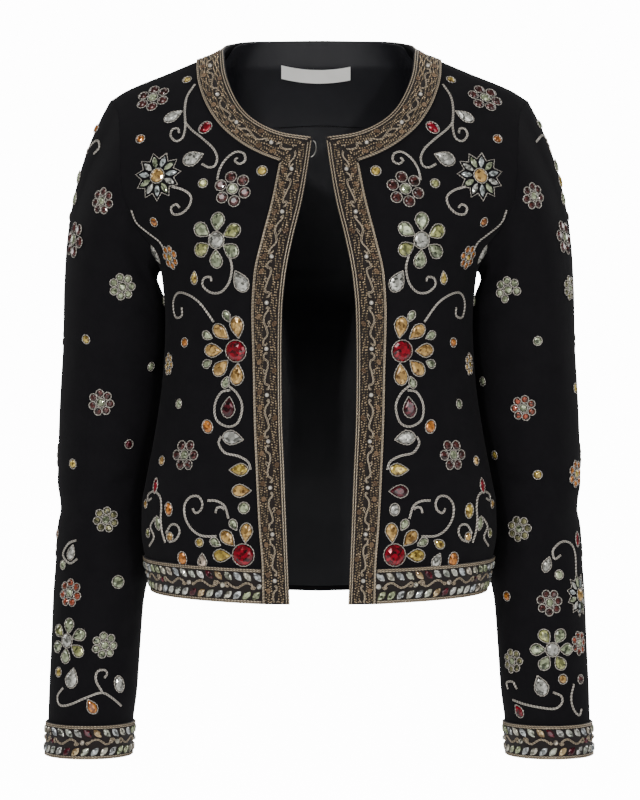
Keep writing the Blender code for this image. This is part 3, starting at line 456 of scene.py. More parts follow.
    def sleeve_ring(self, z: float, count: int) -> Net:
        """Level section of a sleeve, from its inner side round the front."""
        turn = 2 * math.pi * np.arange(count) / count
        outer, inner, middle, half = (float(SLEEVE.look_up("z", name, z)) for name in SLEEVE.names[1:])
        x = (outer + inner) / 2 - (outer - inner) / 2 * np.cos(turn)
        y = middle - half * np.sin(turn)
        out = np.stack((-np.cos(turn), -np.sin(turn), np.zeros(count)), axis=-1)
        dent = np.zeros(count)
        for fold_z, angle, deep, tall, wide in SLEEVE_FOLDS:
            away = (np.degrees(turn) - angle + 180) % 360 - 180
            dent += deep * MM * np.exp(-((z / MM - fold_z) / tall) ** 2 - (away / wide) ** 2)
        return np.stack((x, y, np.full(count, z)), axis=-1) - out * dent[:, None]

    def sleeve_rings(self, count: int, cap: int, step: float) -> Net:
        """All rings of a left sleeve with its creases, from the armhole to the cuff's edge.

        Args:
            count: points round the sleeve.
            cap: rings from the armhole to the straight part.
            step: distance between the rings below, in metres.

        Returns:
            The rings' points, one row each.
        """
        s = self.sizes
        v = np.linspace(s.arm_start, s.rows, count // 2 + 1)
        front, front_out, front_into = self.armhole_frame(v, -1)
        back, back_out, back_into = self.armhole_frame(v, 1)
        start = np.concatenate((front, back[-2:0:-1]))
        into = np.concatenate((front_into, back_into[-2:0:-1]))
        start = start + into * HALF_SEAM
        out = np.concatenate((front_out, back_out[-2:0:-1]))
        tuck = start - out * (s.cloth + s.seam_gap)
        first_z, last_z = SLEEVE.rows[0][0] * MM, SLEEVE.rows[-1][0] * MM
        first = self.sleeve_ring(first_z, count)
        reach = np.linalg.norm(first - start, axis=1, keepdims=True)
        leave = unit(into * 0.6 + np.array((0.0, 0.0, -0.8)))
        pull = start + leave * reach * 0.36
        arrive = first + np.array((0.0, 0.0, 1.0)) * reach * 0.34
        rings = [tuck - into * s.tuck, tuck]
        for row in range(cap):
            t = row / cap
            rings.append(start * (1 - t) ** 3 + pull * 3 * t * (1 - t) ** 2
                         + arrive * 3 * t * t * (1 - t) + first * t ** 3)
        for z in np.linspace(first_z, last_z, round((first_z - last_z) / step) + 1):
            rings.append(self.sleeve_ring(float(z), count))
        rings = np.array(rings)
        turn = np.broadcast_to(360.0 * np.arange(count) / count, rings.shape[:2])
        heights = rings[..., 2] / MM
        dent = np.zeros(rings.shape[:2])
        for a_z, a_turn, b_z, b_turn, deep, wide in SLEEVE_CREASES:
            for lap in (-360, 0, 360):
                dent += trough((turn + lap) * 0.8, heights,
                               ((a_turn * 0.8, a_z, b_turn * 0.8, b_z, deep, wide),))
        row = np.arange(len(rings))[:, None]
        dent *= np.clip((row - 5) / 6, 0, 1) * np.clip((heights + 622) / 20, 0, 1)
        return rings - ring_normals(rings) * dent[..., None]


def ring_normals(rings: Net) -> Net:
    """Outward normals of a stack of rings."""
    around = np.roll(rings, -1, axis=1) - np.roll(rings, 1, axis=1)
    return unit(np.cross(np.gradient(rings, axis=0), around))


def mirrored(points: Net, sign: float) -> Net:
    """Points, or their mirror image across the middle of the body."""
    return points * np.array((sign, 1.0, 1.0))


# Meshes


def select_only(*objs: Piece) -> None:
    """Selects some objects and nothing else; the first one is active."""
    bpy.ops.object.select_all(action="DESELECT")
    for obj in objs:
        obj.select_set(True)
    bpy.context.view_layer.objects.active = objs[0]


def edit_all() -> None:
    """Opens the active object in edit mode with all of it selected."""
    bpy.ops.object.mode_set(mode="EDIT")
    bpy.ops.mesh.select_all(action="SELECT")


def net_object(name: str, points: Net, closed: bool = False) -> Piece:
    """A grid whose points are moved to the places of a net.

    Args:
        name: name of the piece.
        points: places, one row of the net after another.
        closed: whether the last column meets the first.

    Returns:
        The new object, with no thickness.
    """
    if closed:
        points = np.concatenate((points, points[:, :1]), axis=1)
    rows, columns = points.shape[:2]
    bpy.ops.object.select_all(action="DESELECT")
    bpy.ops.mesh.primitive_grid_add(x_subdivisions=columns - 1, y_subdivisions=rows - 1, size=2)
    obj = bpy.context.active_object
    obj.name = obj.data.name = name
    here = np.zeros(len(obj.data.vertices) * 3)
    obj.data.vertices.foreach_get("co", here)
    here = here.reshape(-1, 3)
    place = np.rint((here[:, 0] + 1) / 2 * (columns - 1)).astype(int)
    row = np.rint((here[:, 1] + 1) / 2 * (rows - 1)).astype(int)
    obj.data.vertices.foreach_set("co", points[row, place].ravel())
    obj.data.update()
    return obj


def face_out(obj: Piece, axis: Pair) -> None:
    """Welds a sheet, then turns all its faces away from an upright axis."""
    select_only(obj)
    edit_all()
    bpy.ops.mesh.remove_doubles(threshold=0.00001)
    bpy.ops.mesh.normals_make_consistent(inside=False)
    bpy.ops.object.mode_set(mode="OBJECT")
    lean = 0.0
    for polygon in obj.data.polygons:
        away = polygon.center - Vector((axis[0], axis[1], polygon.center.z))
        lean += polygon.normal.dot(away) * polygon.area
    if lean < 0:
        edit_all()
        bpy.ops.mesh.flip_normals()
        bpy.ops.object.mode_set(mode="OBJECT")


def thicken(obj: Piece, cloth: float) -> None:
    """Gives a sheet its thickness on the inside and smooths it."""
    select_only(obj)
    modifier = obj.modifiers.new("cloth", "SOLIDIFY")
    modifier.thickness = cloth
    modifier.offset = -1.0
    bpy.ops.object.modifier_apply(modifier=modifier.name)
    bpy.ops.object.shade_smooth_by_angle(angle=math.radians(50))


def joined(name: str, *objs: Piece) -> Piece:
    """Several objects as one."""
    select_only(*objs)
    bpy.ops.object.join()
    objs[0].name = objs[0].data.name = name
    return objs[0]


# Finishes


class Nodes:
    """Builds the nodes of one material."""

    def __init__(self, name: str) -> None:
        """Starts a material with one shader."""
        self.material = bpy.data.materials.new(name)
        self.material.use_nodes = True
        self.tree = self.material.node_tree
        self.shader = self.tree.nodes["Principled BSDF"]

    def add(self, kind: str, **inputs: object) -> bpy.types.Node:
        """A node of one kind; inputs are sockets by name with _ for a space."""
        node = self.tree.nodes.new(kind)
        for name, value in inputs.items():
            self.put(node.inputs[name.replace("_", " ")], value)
        return node

    def put(self, socket: Socket, value: object) -> None:
        """Sets a socket to a value, or links another socket to it."""
        if isinstance(value, Socket):
            self.tree.links.new(value, socket)
        else:
            socket.default_value = value

    def calc(self, operation: str, *values: object) -> Socket:
        """Result of a Math node on some values."""
        node = self.tree.nodes.new("ShaderNodeMath")
        node.operation = operation
        for socket, value in zip(node.inputs, values):
            self.put(socket, value)
        return node.outputs["Value"]

    def place(self) -> Socket:
        """Object coordinates."""
        return self.add("ShaderNodeTexCoord").outputs["Object"]

    def mix(self, share: object, low: Sequence[float], high: Sequence[float]) -> Socket:
        """A ramp from one colour to another."""
        ramp = self.add("ShaderNodeValToRGB", Fac=share)
        ramp.color_ramp.elements[0].color = (*low, 1.0)
        ramp.color_ramp.elements[1].color = (*high, 1.0)
        return ramp.outputs["Color"]

    def noise(self, scale: float, detail: float = 2.0) -> Socket:
        """Noise in object coordinates."""
        return self.add("ShaderNodeTexNoise", Vector=self.place(), Scale=scale,
                        Detail=detail).outputs["Fac"]

    def tinted(self, colour: Socket) -> Socket:
        """A colour multiplied by the tint of each small shape."""
        tint = self.add("ShaderNodeAttribute")
        tint.attribute_name = "tint"
        blend = self.add("ShaderNodeMix")
        blend.data_type = "RGBA"
        blend.blend_type = "MULTIPLY"
        blend.inputs["Factor"].default_value = 1.0
        self.put(blend.inputs[6], colour)
        self.put(blend.inputs[7], tint.outputs["Color"])
        return blend.outputs[2]

    def bump(self, height: Socket, distance: float, strength: float = 1.0) -> None:
        """Bumps on the shader."""
        made = self.add("ShaderNodeBump", Height=height, Distance=distance, Strength=strength)
        self.put(self.shader.inputs["Normal"], made.outputs["Normal"])

    def set(self, **inputs: object) -> Material:
        """Sets the shader's sockets and returns the material."""
        for name, value in inputs.items():
            self.put(self.shader.inputs[name.replace("_", " ")], value)
        return self.material


@dataclass(frozen=True)
class ClothFinish:
    """Woven cloth: fine threads, slight unevenness and a little sheen."""

    name: str
    dark: Triple
    light: Triple
    roughness: float = 0.85
    specular: float = 0.12
    sheen: float = 0.02
    threads: float = 1500.0
    bumps: float = 0.00012
    streak: float = 0.0

    def make(self) -> Material:
        """The material."""
        nodes = Nodes(self.name)
        place = nodes.place()
        threads = []
        for direction in ("X", "Z"):
            wave = nodes.add("ShaderNodeTexWave", Vector=place, Scale=self.threads / 4,
                             Distortion=1.5, Detail=1.0)
            wave.bands_direction = direction
            threads.append(wave.outputs["Fac"])
        woven = nodes.calc("ADD", *threads)
        crimp = nodes.calc("ADD", woven, nodes.noise(self.threads * 0.45, 3.0))
        nodes.bump(crimp, self.bumps)
        return nodes.set(Base_Color=nodes.mix(nodes.noise(55.0, 4.0), self.dark, self.light),
                         Roughness=self.roughness, Specular_IOR_Level=self.specular,
                         Sheen_Weight=self.sheen, Sheen_Roughness=0.5, Anisotropic=self.streak)


@dataclass(frozen=True)
class StoneFinish:
    """Cut glass: painted reflections as bright and dark facet cells under a clear polish, tinted stone
    by stone.
    """

    name: str
    # dark and light: painted reflections, from the darkest facet cell to the brightest
    dark: Triple
    light: Triple
    metal: float = 0.35
    roughness: float = 0.10
    # How small the cells of painted reflection are, per metre
    glint_facet_scale: float = 400.0

    def make(self) -> Material:
        """The material."""
        nodes = Nodes(self.name)
        # Random cells in the stone's own coordinates are painted from dark to light as its reflections
        cells = nodes.add("ShaderNodeTexVoronoi", Vector=nodes.place(), Scale=self.glint_facet_scale)
        split = nodes.add("ShaderNodeSeparateColor", Color=cells.outputs["Color"])
        ramp = nodes.mix(split.outputs["Red"], self.dark, self.light)
        return nodes.set(Base_Color=nodes.tinted(ramp), Roughness=self.roughness,
                         Metallic=self.metal, Coat_Weight=0.8, Coat_Roughness=0.05)


@dataclass(frozen=True)
class CordFinish:
    """Twisted metal cord with a painted highlight on its turns and painted shade between them."""

    name: str
    # dark: painted shade between the strands; light: painted highlight on their turns
    dark: Triple
    light: Triple
    twist: float = 0.0030
    metal: float = 0.25
    roughness: float = 0.32

    def make(self) -> Material:
        """The material, which reads the length along a cord in metres from its own map."""
        nodes = Nodes(self.name)
        uv = nodes.add("ShaderNodeUVMap")
        uv.uv_map = "UVMap"
        split = nodes.add("ShaderNodeSeparateXYZ", Vector=uv.outputs["UV"])
        round_it = nodes.calc("MULTIPLY", split.outputs["Y"], 2 * math.pi)
        turns = nodes.calc("MULTIPLY_ADD", split.outputs["X"], 2 * math.pi / self.twist, round_it)
        share = nodes.add("ShaderNodeMapRange", Value=nodes.calc("SINE", turns))
        share.inputs["From Min"].default_value = -1.0
        nodes.bump(share.outputs["Result"], 0.00025)
        # The twist paints the colour from shade between the strands to a highlight on each turn
        strand_shade_and_highlight = nodes.mix(share.outputs["Result"], self.dark, self.light)
        return nodes.set(Base_Color=nodes.tinted(strand_shade_and_highlight), Metallic=self.metal, Roughness=self.roughness)


@dataclass(frozen=True)
class PolishedFinish:
    """Beads, pearls and wire: an even body with small differences from place to place."""

    name: str
    dark: Triple
    light: Triple
    metal: float = 0.4
    roughness: float = 0.25
    grain: float = 420.0

    def make(self) -> Material:
        """The material."""
        nodes = Nodes(self.name)
        body = nodes.mix(nodes.noise(self.grain, 1.0), self.dark, self.light)
        return nodes.set(Base_Color=nodes.tinted(body), Metallic=self.metal,
                         Roughness=self.roughness, Coat_Weight=0.5, Coat_Roughness=0.1)


FINISHES = {
    Slot.CREPE: ClothFinish("black_crepe_look", (0.0042, 0.0038, 0.0050), (0.0082, 0.0074, 0.0090)),
    Slot.SATIN: ClothFinish("black_satin_look", (0.0085, 0.0084, 0.0108), (0.0140, 0.0138, 0.0172),
                            0.38, 0.30, 0.0, 2600.0, 0.00004, 0.5),
    Slot.BEADED: ClothFinish("bead_ground_look", (0.0040, 0.0018, 0.0013), (0.012, 0.0056, 0.0038),
                             0.6, 0.35, 0.1, 1300.0, 0.0002),
    Slot.JEWELLED: ClothFinish("jewel_ground_look", (0.0045, 0.0020, 0.0018), (0.013, 0.0055, 0.0045),
                               0.6, 0.35, 0.1, 1300.0, 0.0002),
    Slot.TAPE: ClothFinish("tape_look", (0.93, 0.91, 0.86), (1.0, 0.99, 0.95), 0.75, 0.3, 0.2,
                           1500.0, 0.0001),
    Slot.WIRE: PolishedFinish("wire_look", (0.35, 0.33, 0.30), (0.60, 0.58, 0.54), 1.0, 0.28),
    Slot.BEADS: PolishedFinish("seed_bead_look", (0.30, 0.22, 0.135), (0.95, 0.76, 0.52), 0.25, 0.20,
                               900.0),
    Slot.PEARLS: PolishedFinish("pearl_look", (0.46, 0.42, 0.36), (0.86, 0.82, 0.74), 0.35, 0.15),
    # Painted shade between the cord's strands and painted highlight on their turns
    Slot.CORD: CordFinish("cord_look", (0.10, 0.086, 0.070), (0.98, 0.91, 0.80)),
    # Dark and light of the stones are painted reflections, mixed facet cell by facet cell
    Slot.CLEAR: StoneFinish("clear_stone_look", (0.055, 0.055, 0.046), (0.88, 0.87, 0.80)),
    Slot.TOPAZ: StoneFinish("topaz_stone_look", (0.13, 0.055, 0.009), (0.95, 0.60, 0.20)),
    Slot.GREEN: StoneFinish("green_stone_look", (0.030, 0.040, 0.018), (0.60, 0.67, 0.42)),
    Slot.RED: StoneFinish("red_stone_look", (0.012, 0.0003, 0.0010), (0.46, 0.004, 0.022)),
}


@dataclass
class Fitting:
    """Finishes pieces with their slots' materials and hides the CAD nodes that they replace."""

    made: dict[Slot, Material] = field(default_factory=dict)

    def material(self, slot: Slot) -> Material:
        """The slot's material, made at its first use."""
        if slot not in self.made:
            self.made[slot] = FINISHES[slot].make()
        return self.made[slot]

    def fit(self, obj: Piece, slot: Slot, *nodes: str) -> None:
        """Paints one piece, attaches it to the root and hides the CAD nodes that it replaces.

        Args:
            obj: the finished piece.
            slot: its material slot.
            nodes: the CAD nodes that it replaces.
        """
        obj.data.materials.append(self.material(slot))
        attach(obj, "root")
        if nodes:
            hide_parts(*nodes)
        area = sum(polygon.area for polygon in obj.data.polygons)
        log.info("%s: %d faces, %.4f square metres", obj.name, len(obj.data.polygons), area)

    def sew(self, obj: Piece, cloth: float, slot: Slot, node: str,
            axis: Pair = (0.0, 0.0), **cut: object) -> Piece:
        """Args:
            obj: the net.
            cloth: its thickness, in metres.
            slot: its material slot.
            node: the CAD node that it replaces.
            axis: upright axis that its faces turn away from.

        Returns:
            The same piece.
        """
        face_out(obj, axis)
        thicken(obj, cloth)
        self.fit(obj, slot, node)
        return obj


# Cloth pieces


def steps(start: float, stop: float, count: int) -> Net:
    """Evenly spaced values with both ends."""
    return np.linspace(start, stop, count + 1)


@dataclass
class Ribbon:
    """A band's face as a net: rows run along the band and columns across it."""

    points: Net
    normals: Net

    @classmethod
    def of(cls, points: Net, axis: Pair = (0.0, 0.0)) -> "Ribbon":
        """A ribbon whose normals all point away from an upright axis."""
        normals = unit(np.cross(np.gradient(points, axis=1), np.gradient(points, axis=0)))
        away = points - np.array((axis[0], axis[1], 0.0))
        away[..., 2] = 0.0
        turned = float(np.sum(normals * away))
        return cls(points, normals if turned > 0 else -normals)

    def turned(self) -> "Ribbon":
        """The same band with rows and columns changed over."""
        return Ribbon(self.points.transpose(1, 0, 2), self.normals.transpose(1, 0, 2))

    def sewn(self, fitting: Fitting, name: str, node: str, slot: Slot, flat: Pair,
             axis: Pair = (0.0, 0.0)) -> "Ribbon":
        """Sews a band's ground a little off the cloth.

        Args:
            fitting: what finishes it.
            name: name of the piece.
            node: the CAD node that it replaces.
            slot: its material slot.
            flat: its flat size, in metres; not used.
            axis: upright axis that its faces turn away from.

        Returns:
            The outer face of the ground.
        """
        s = Sizes()
        face = self.points + self.normals * (s.seam_gap + s.band_cloth)
        fitting.sew(net_object(name, face), s.band_cloth, slot, node, axis, flat=flat, held="stretched")
        return Ribbon(face, self.normals)

    @property
    def length(self) -> float:
        """Length along the middle of the band."""
        return float(arc_lengths(self.points[:, self.points.shape[1] // 2])[-1])

    def at(self, run: Net, across: Net, lift: float) -> NetPair:
        """Points on the band.

        Args:
            run: distance along its middle line, in metres.
            across: -1 at one long edge and 1 at the other.
            lift: how far above the band's face, in metres.

        Returns:
            The points and the normals there.
        """
        rows, columns = self.points.shape[:2]
        lengths = arc_lengths(self.points[:, columns // 2])
        row = np.interp(run, lengths, np.arange(rows))
        place = (np.clip(across, -1, 1) + 1) / 2 * (columns - 1)
        i = np.clip(row.astype(int), 0, rows - 2)
        j = np.clip(place.astype(int), 0, columns - 2)
        t, s = (row - i)[..., None], (place - j)[..., None]
        found = []
        for net in (self.points, self.normals):
            low = net[i, j] * (1 - s) + net[i, j + 1] * s
            high = net[i + 1, j] * (1 - s) + net[i + 1, j + 1] * s
            found.append(low * (1 - t) + high * t)
        normal = unit(found[1])
        return found[0] + normal * lift, normal


@dataclass
class FrontPiece:
    """One front with its beaded edge and neck bands and its jewelled hem band."""

    jacket: Jacket
    fitting: Fitting
    sign: float
    columns: int = 54
    rows: int = 175
    flat: Pair = (0.24, 0.50)
    area: float = 0.092
    ribbons: dict[str, Ribbon] = field(default_factory=dict)

    @property
    def side(self) -> str:
        """Which front this is."""
        return "left" if self.sign > 0 else "right"

    def build(self) -> Piece:
        """The cloth, then the bands' grounds on it."""
        s = self.jacket.sizes
        u, v = np.meshgrid(steps(0, s.front_columns, self.columns), steps(0, s.rows, self.rows))
        points = mirrored(self.jacket.front(u, v), self.sign)
        points[:, -1, 1] -= HALF_SEAM
        points[-1, :, 1] -= HALF_SEAM
        cloth = self.fitting.sew(net_object(f"look_front_{self.side}", points), s.cloth, Slot.CREPE,
                                 f"front_{self.side}", flat=self.flat, held="stretched",
                                 area=self.area)
        self.band("front_band", (0, s.band_columns - 0.013), (0, s.corner_row - 0.013), 12, 150,
                  Slot.BEADED, (0.026, 0.42))
        self.band("neck_band", (0, s.band_columns), (s.corner_row + 0.009, s.rows), 12, 60,
                  Slot.BEADED, (0.028, 0.17))
        self.band("hem_band", (s.band_columns + 0.013, s.front_columns), (0, s.hem_rows), 70, 14,
                  Slot.JEWELLED, (0.16, 0.031))
        return cloth

    def band(self, kind: str, us: Pair, vs: Pair, columns: int,
             rows: int, slot: Slot, flat: Pair) -> None:
        """The ground of one band, lifted off the cloth, and its ribbon for the beadwork."""
        u, v = np.meshgrid(steps(*us, columns), steps(*vs, rows))
        name = f"{kind}_{self.side}"
        ribbon = Ribbon.of(mirrored(self.jacket.front(u, v), self.sign))
        ribbon = ribbon.sewn(self.fitting, f"look_{name}", name, slot, flat)
        self.ribbons[kind] = ribbon.turned() if kind == "hem_band" else ribbon


@dataclass
class BackPiece:
    """The back with its hem and neck bands, its lining, facing, blank label and wire bar."""

    jacket: Jacket
    fitting: Fitting
    fine: int = 6
    rows: int = 140
    label: Pair = (0.065, 0.012)
    tape: float = 0.0006
    # Middle of the label: x, distance off the facing, z; then how far its ends stand higher
    label_place: Triple = (-0.0030, 0.0020, -0.0160)
    label_rise: float = 0.0035
    bar: Pair = (-0.0905, -0.1055)
    bar_bulge: float = 0.0036
    wire: float = 0.0006
    ribbons: dict[str, Ribbon] = field(default_factory=dict)

    def build(self) -> Piece:
        """The cloth and its neck strip as one, then the bands."""
        s = self.jacket.sizes
        u, v = np.meshgrid(steps(0, s.back_columns, s.back_columns * self.fine),
                           steps(0, s.rows, self.rows))
        main = self.jacket.back(u, v)
        main[:, (0, -1), 1] += HALF_SEAM
        reach = s.back_neck_columns
        u, w = np.meshgrid(steps(-reach, reach, 2 * reach * self.fine), steps(0, 1, 8))
        strip = self.jacket.back_neck(u, w)
        cloth = joined("look_back", net_object("main", main), net_object("strip", strip))
        self.fitting.sew(cloth, s.cloth, Slot.CREPE, "back", flat=(0.43, 0.53), held="stretched",
                         area=0.18)
        u, v = np.meshgrid(steps(0, s.back_columns, 150), steps(0, s.hem_rows, 14))
        self.band("hem_band_back", self.jacket.back(u, v), Slot.JEWELLED, (0.40, 0.031))
        u, w = np.meshgrid(steps(-reach, reach, 90), steps(0, 1, 12))
        self.band("neck_band_back", self.jacket.back_neck(u, w), Slot.BEADED, (0.21, 0.026))
        return cloth

    def band(self, name: str, points: Net, slot: Slot, flat: Pair) -> None:
        """The ground of one band and its ribbon."""
        ribbon = Ribbon.of(points).sewn(self.fitting, f"look_{name}", name, slot, flat)
        self.ribbons[name] = ribbon.turned()

    def dress_inside(self) -> None:
        """The lining with its centre seam, the neck facing and the label."""
        s = self.jacket.sizes
        under = s.cloth + s.lining_ease
        v_edge = float(np.interp(s.facing_edge, steps(-0.472, -0.006, 33), steps(2, 35, 33)))
        u, v = np.meshgrid(steps(1, s.back_columns - 1, 120), steps(0, v_edge, 130))
        points = self.jacket.plain_back(u, v)
        ribbon = Ribbon.of(points)
        x, z = points[..., 0] / MM, points[..., 2] / MM
        folds = trough(x, z, LINING_FOLDS)
        seam = 0.0006 * np.exp(-(x / 1.6) ** 2) + 0.0003 * np.exp(-((np.abs(x) - 4) / 2) ** 2)
        face = points - ribbon.normals * (under - folds * 0.9 - seam * 0.6)[..., None]
        face[..., 2] += 0.005 * np.clip(1 - v / 2, 0, 1)
        self.fitting.sew(net_object("look_lining", face), s.lining_cloth, Slot.SATIN, "back_lining",
                         flat=(0.37, 0.44), held="hung", rests_on=["look_back"], area=0.14)
        reach = s.back_neck_columns - 1
        u, v = np.meshgrid(steps(-reach, reach, 60), steps(v_edge + 0.05, s.rows, 24))
        low = self.jacket.plain_back(u + s.back_columns / 2, v)
        u, w = np.meshgrid(steps(-reach, reach, 60), steps(0, 1, 10)[1:])
        whole = Ribbon.of(np.concatenate((low, self.jacket.back_neck(u, w))))
        face = whole.points - whole.normals * under
        face[-1, :, 2] -= s.seam_gap
        self.fitting.sew(net_object("look_facing", face), s.lining_cloth, Slot.SATIN,
                         "back_neck_facing", flat=(0.19, 0.085), held="stretched", area=0.0125)
        self.sew_label(under + s.lining_cloth)

    def sew_label(self, under: float) -> None:
        """The blank woven label, a little slack between its stitched ends."""
        half_width, half_height = self.label[0] / 2, self.label[1] / 2
        x, z = np.meshgrid(steps(-half_width, half_width, 40), steps(-half_height, half_height, 8))
        share = np.abs(x) / half_width
        z = z + self.label_place[2] + self.label_rise * share ** 2 - x * 0.02
        x = x + self.label_place[0]
        y = self.jacket.depth(x, z, 1) - under - self.label_place[1]
        y -= 0.0004 * np.cos(share * math.pi / 2) * (1 + 0.4 * np.sin(x * 420 + z * 300))
        self.fitting.sew(net_object("look_label", np.stack((x, y, z), axis=-1)), self.tape,
                         Slot.TAPE, "neck_label", (0.0, -1.0), flat=self.label, held="stretched")

    def hook_bar(self) -> None:
        """The wire bar on the right front's edge, a bent tube."""
        z = steps(*self.bar, 20)
        edge = FRONT_EDGE.look_up("z", "opening", z)
        out = self.bar_bulge * np.sqrt(np.maximum(np.sin(math.pi * steps(0, 1, 20)), 0))
        y = self.jacket.depth(-edge, z, -1) + 0.0008
        path = np.stack((0.0011 - edge + out, y, z), axis=-1)
        work = Work("look_eye")
        work.tube(path, np.tile((0.0, -1.0, 0.0), (21, 1)), self.wire, 8)
        self.fitting.fit(work.build(True), Slot.WIRE, "neck_eye")


@dataclass
class SleevePiece:
    """One sleeve with its jewelled cuff band."""

    jacket: Jacket
    fitting: Fitting
    sign: float
    count: int = 96
    cap: int = 14
    step: float = 0.0045
    cuff: Ribbon | None = None

    def build(self) -> Piece:
        """The cloth tube, then the ground of the cuff band."""
        s = self.jacket.sizes
        name = "left" if self.sign > 0 else "right"
        rings = mirrored(self.jacket.sleeve_rings(self.count, self.cap, self.step), self.sign)
        axis = (self.sign * 0.205, 0.035)
        cloth = self.fitting.sew(net_object(f"look_sleeve_{name}", rings, True), s.cloth, Slot.CREPE,
                                 f"sleeve_{name}", axis, flat=(0.36, 0.62), held="hung", area=0.18)
        top = SLEEVE.rows[-1][0] * MM + s.hem_band
        band = np.array([self.jacket.sleeve_ring(float(z), 140)
                         for z in steps(SLEEVE.rows[-1][0] * MM, top, 14)])
        band = mirrored(np.concatenate((band, band[:, :1]), axis=1), self.sign)
        self.cuff = Ribbon.of(band, axis).sewn(
            self.fitting, f"look_cuff_{name}", f"cuff_band_{name}", Slot.JEWELLED, (0.26, 0.031),
            axis).turned()
        return cloth


# Small shapes that are modelled once and copied


@dataclass
class Shape:
    """Points and faces of a small shape, about one metre across, standing on z = 0."""

    points: Net
    faces: list[tuple[int, ...]]

    @classmethod
    def read(cls, obj: Piece) -> "Shape":
        """Takes the shape of an object and removes the object."""
        points = np.zeros(len(obj.data.vertices) * 3)
        obj.data.vertices.foreach_get("co", points)
        faces = [tuple(polygon.vertices) for polygon in obj.data.polygons]
        mesh = obj.data
        bpy.data.objects.remove(obj)
        bpy.data.meshes.remove(mesh)
        return cls(points.reshape(-1, 3), faces)


class Cut(Enum):
    """Outlines of the stones."""

    ROUND = "round"
    OVAL = "oval"
    PEAR = "pear"
    MARQUISE = "marquise"


@dataclass(frozen=True)
class StoneModel:
    """A cut stone: a girdle, a facetted crown and a flat table."""

    sides: int = 12
    girdle: float = 0.22
    crown: float = 0.62
    table: float = 0.55

    def build(self) -> Shape:
        """The round stone, radius one, made from a disc that is drawn up and in."""
        bpy.ops.object.select_all(action="DESELECT")
        bpy.ops.mesh.primitive_circle_add(vertices=self.sides, radius=1.0, fill_type="NGON")
        obj = bpy.context.active_object
        edit_all()
        bpy.ops.mesh.extrude_region_move(TRANSFORM_OT_translate={"value": (0, 0, self.girdle)})
        rise = (self.crown - self.girdle) / 2
        middle = 1 - (1 - self.table) * 0.4
        for scale in (middle, self.table / middle):
            bpy.ops.mesh.extrude_region_move(TRANSFORM_OT_translate={"value": (0, 0, rise)})
            bpy.ops.transform.resize(value=(scale, scale, 1.0), center_override=(0, 0, 0))
        bpy.ops.transform.rotate(value=math.pi / self.sides, orient_axis="Z", center_override=(0, 0, 0))
        bpy.ops.mesh.select_all(action="SELECT")
        bpy.ops.mesh.normals_make_consistent(inside=False)
        bpy.ops.object.mode_set(mode="OBJECT")
        return Shape.read(obj)


def outline(points: Net, cut: Cut) -> Net:
    """A round shape drawn out to a stone's outline; a pear's tip and a long axis lie on +X."""
    x, y, z = points.T
    if cut is Cut.PEAR:
        y = y * np.clip(1 - 0.62 * np.clip(x + 0.25, 0, 2) ** 1.4, 0.05, 1)
    if cut is Cut.MARQUISE:
        y = y * (0.06 + 0.94 * np.sqrt(np.clip(1 - x ** 2, 0, 1)))
    return np.stack((x, y, z), axis=-1)


def dome(segments: int, rings: int, foot: float) -> Shape:
    """A ball of radius one, cut off at the height of its foot."""
    bpy.ops.object.select_all(action="DESELECT")
    bpy.ops.mesh.primitive_uv_sphere_add(segments=segments, ring_count=rings, radius=1.0)
    obj = bpy.context.active_object
    edit_all()
    bpy.ops.mesh.bisect(plane_co=(0, 0, foot), plane_no=(0, 0, 1), clear_inner=True)
    bpy.ops.object.mode_set(mode="OBJECT")
    return Shape.read(obj)


def frame_at(normal: Net, along_way: Net) -> Net:
    """Three axes (along, across, up) as rows, from a normal and a rough direction along."""
    up = unit(normal)
    way = along_way - up * float(np.dot(along_way, up))
    way = unit(way)
    return np.stack((way, np.cross(up, way), up))


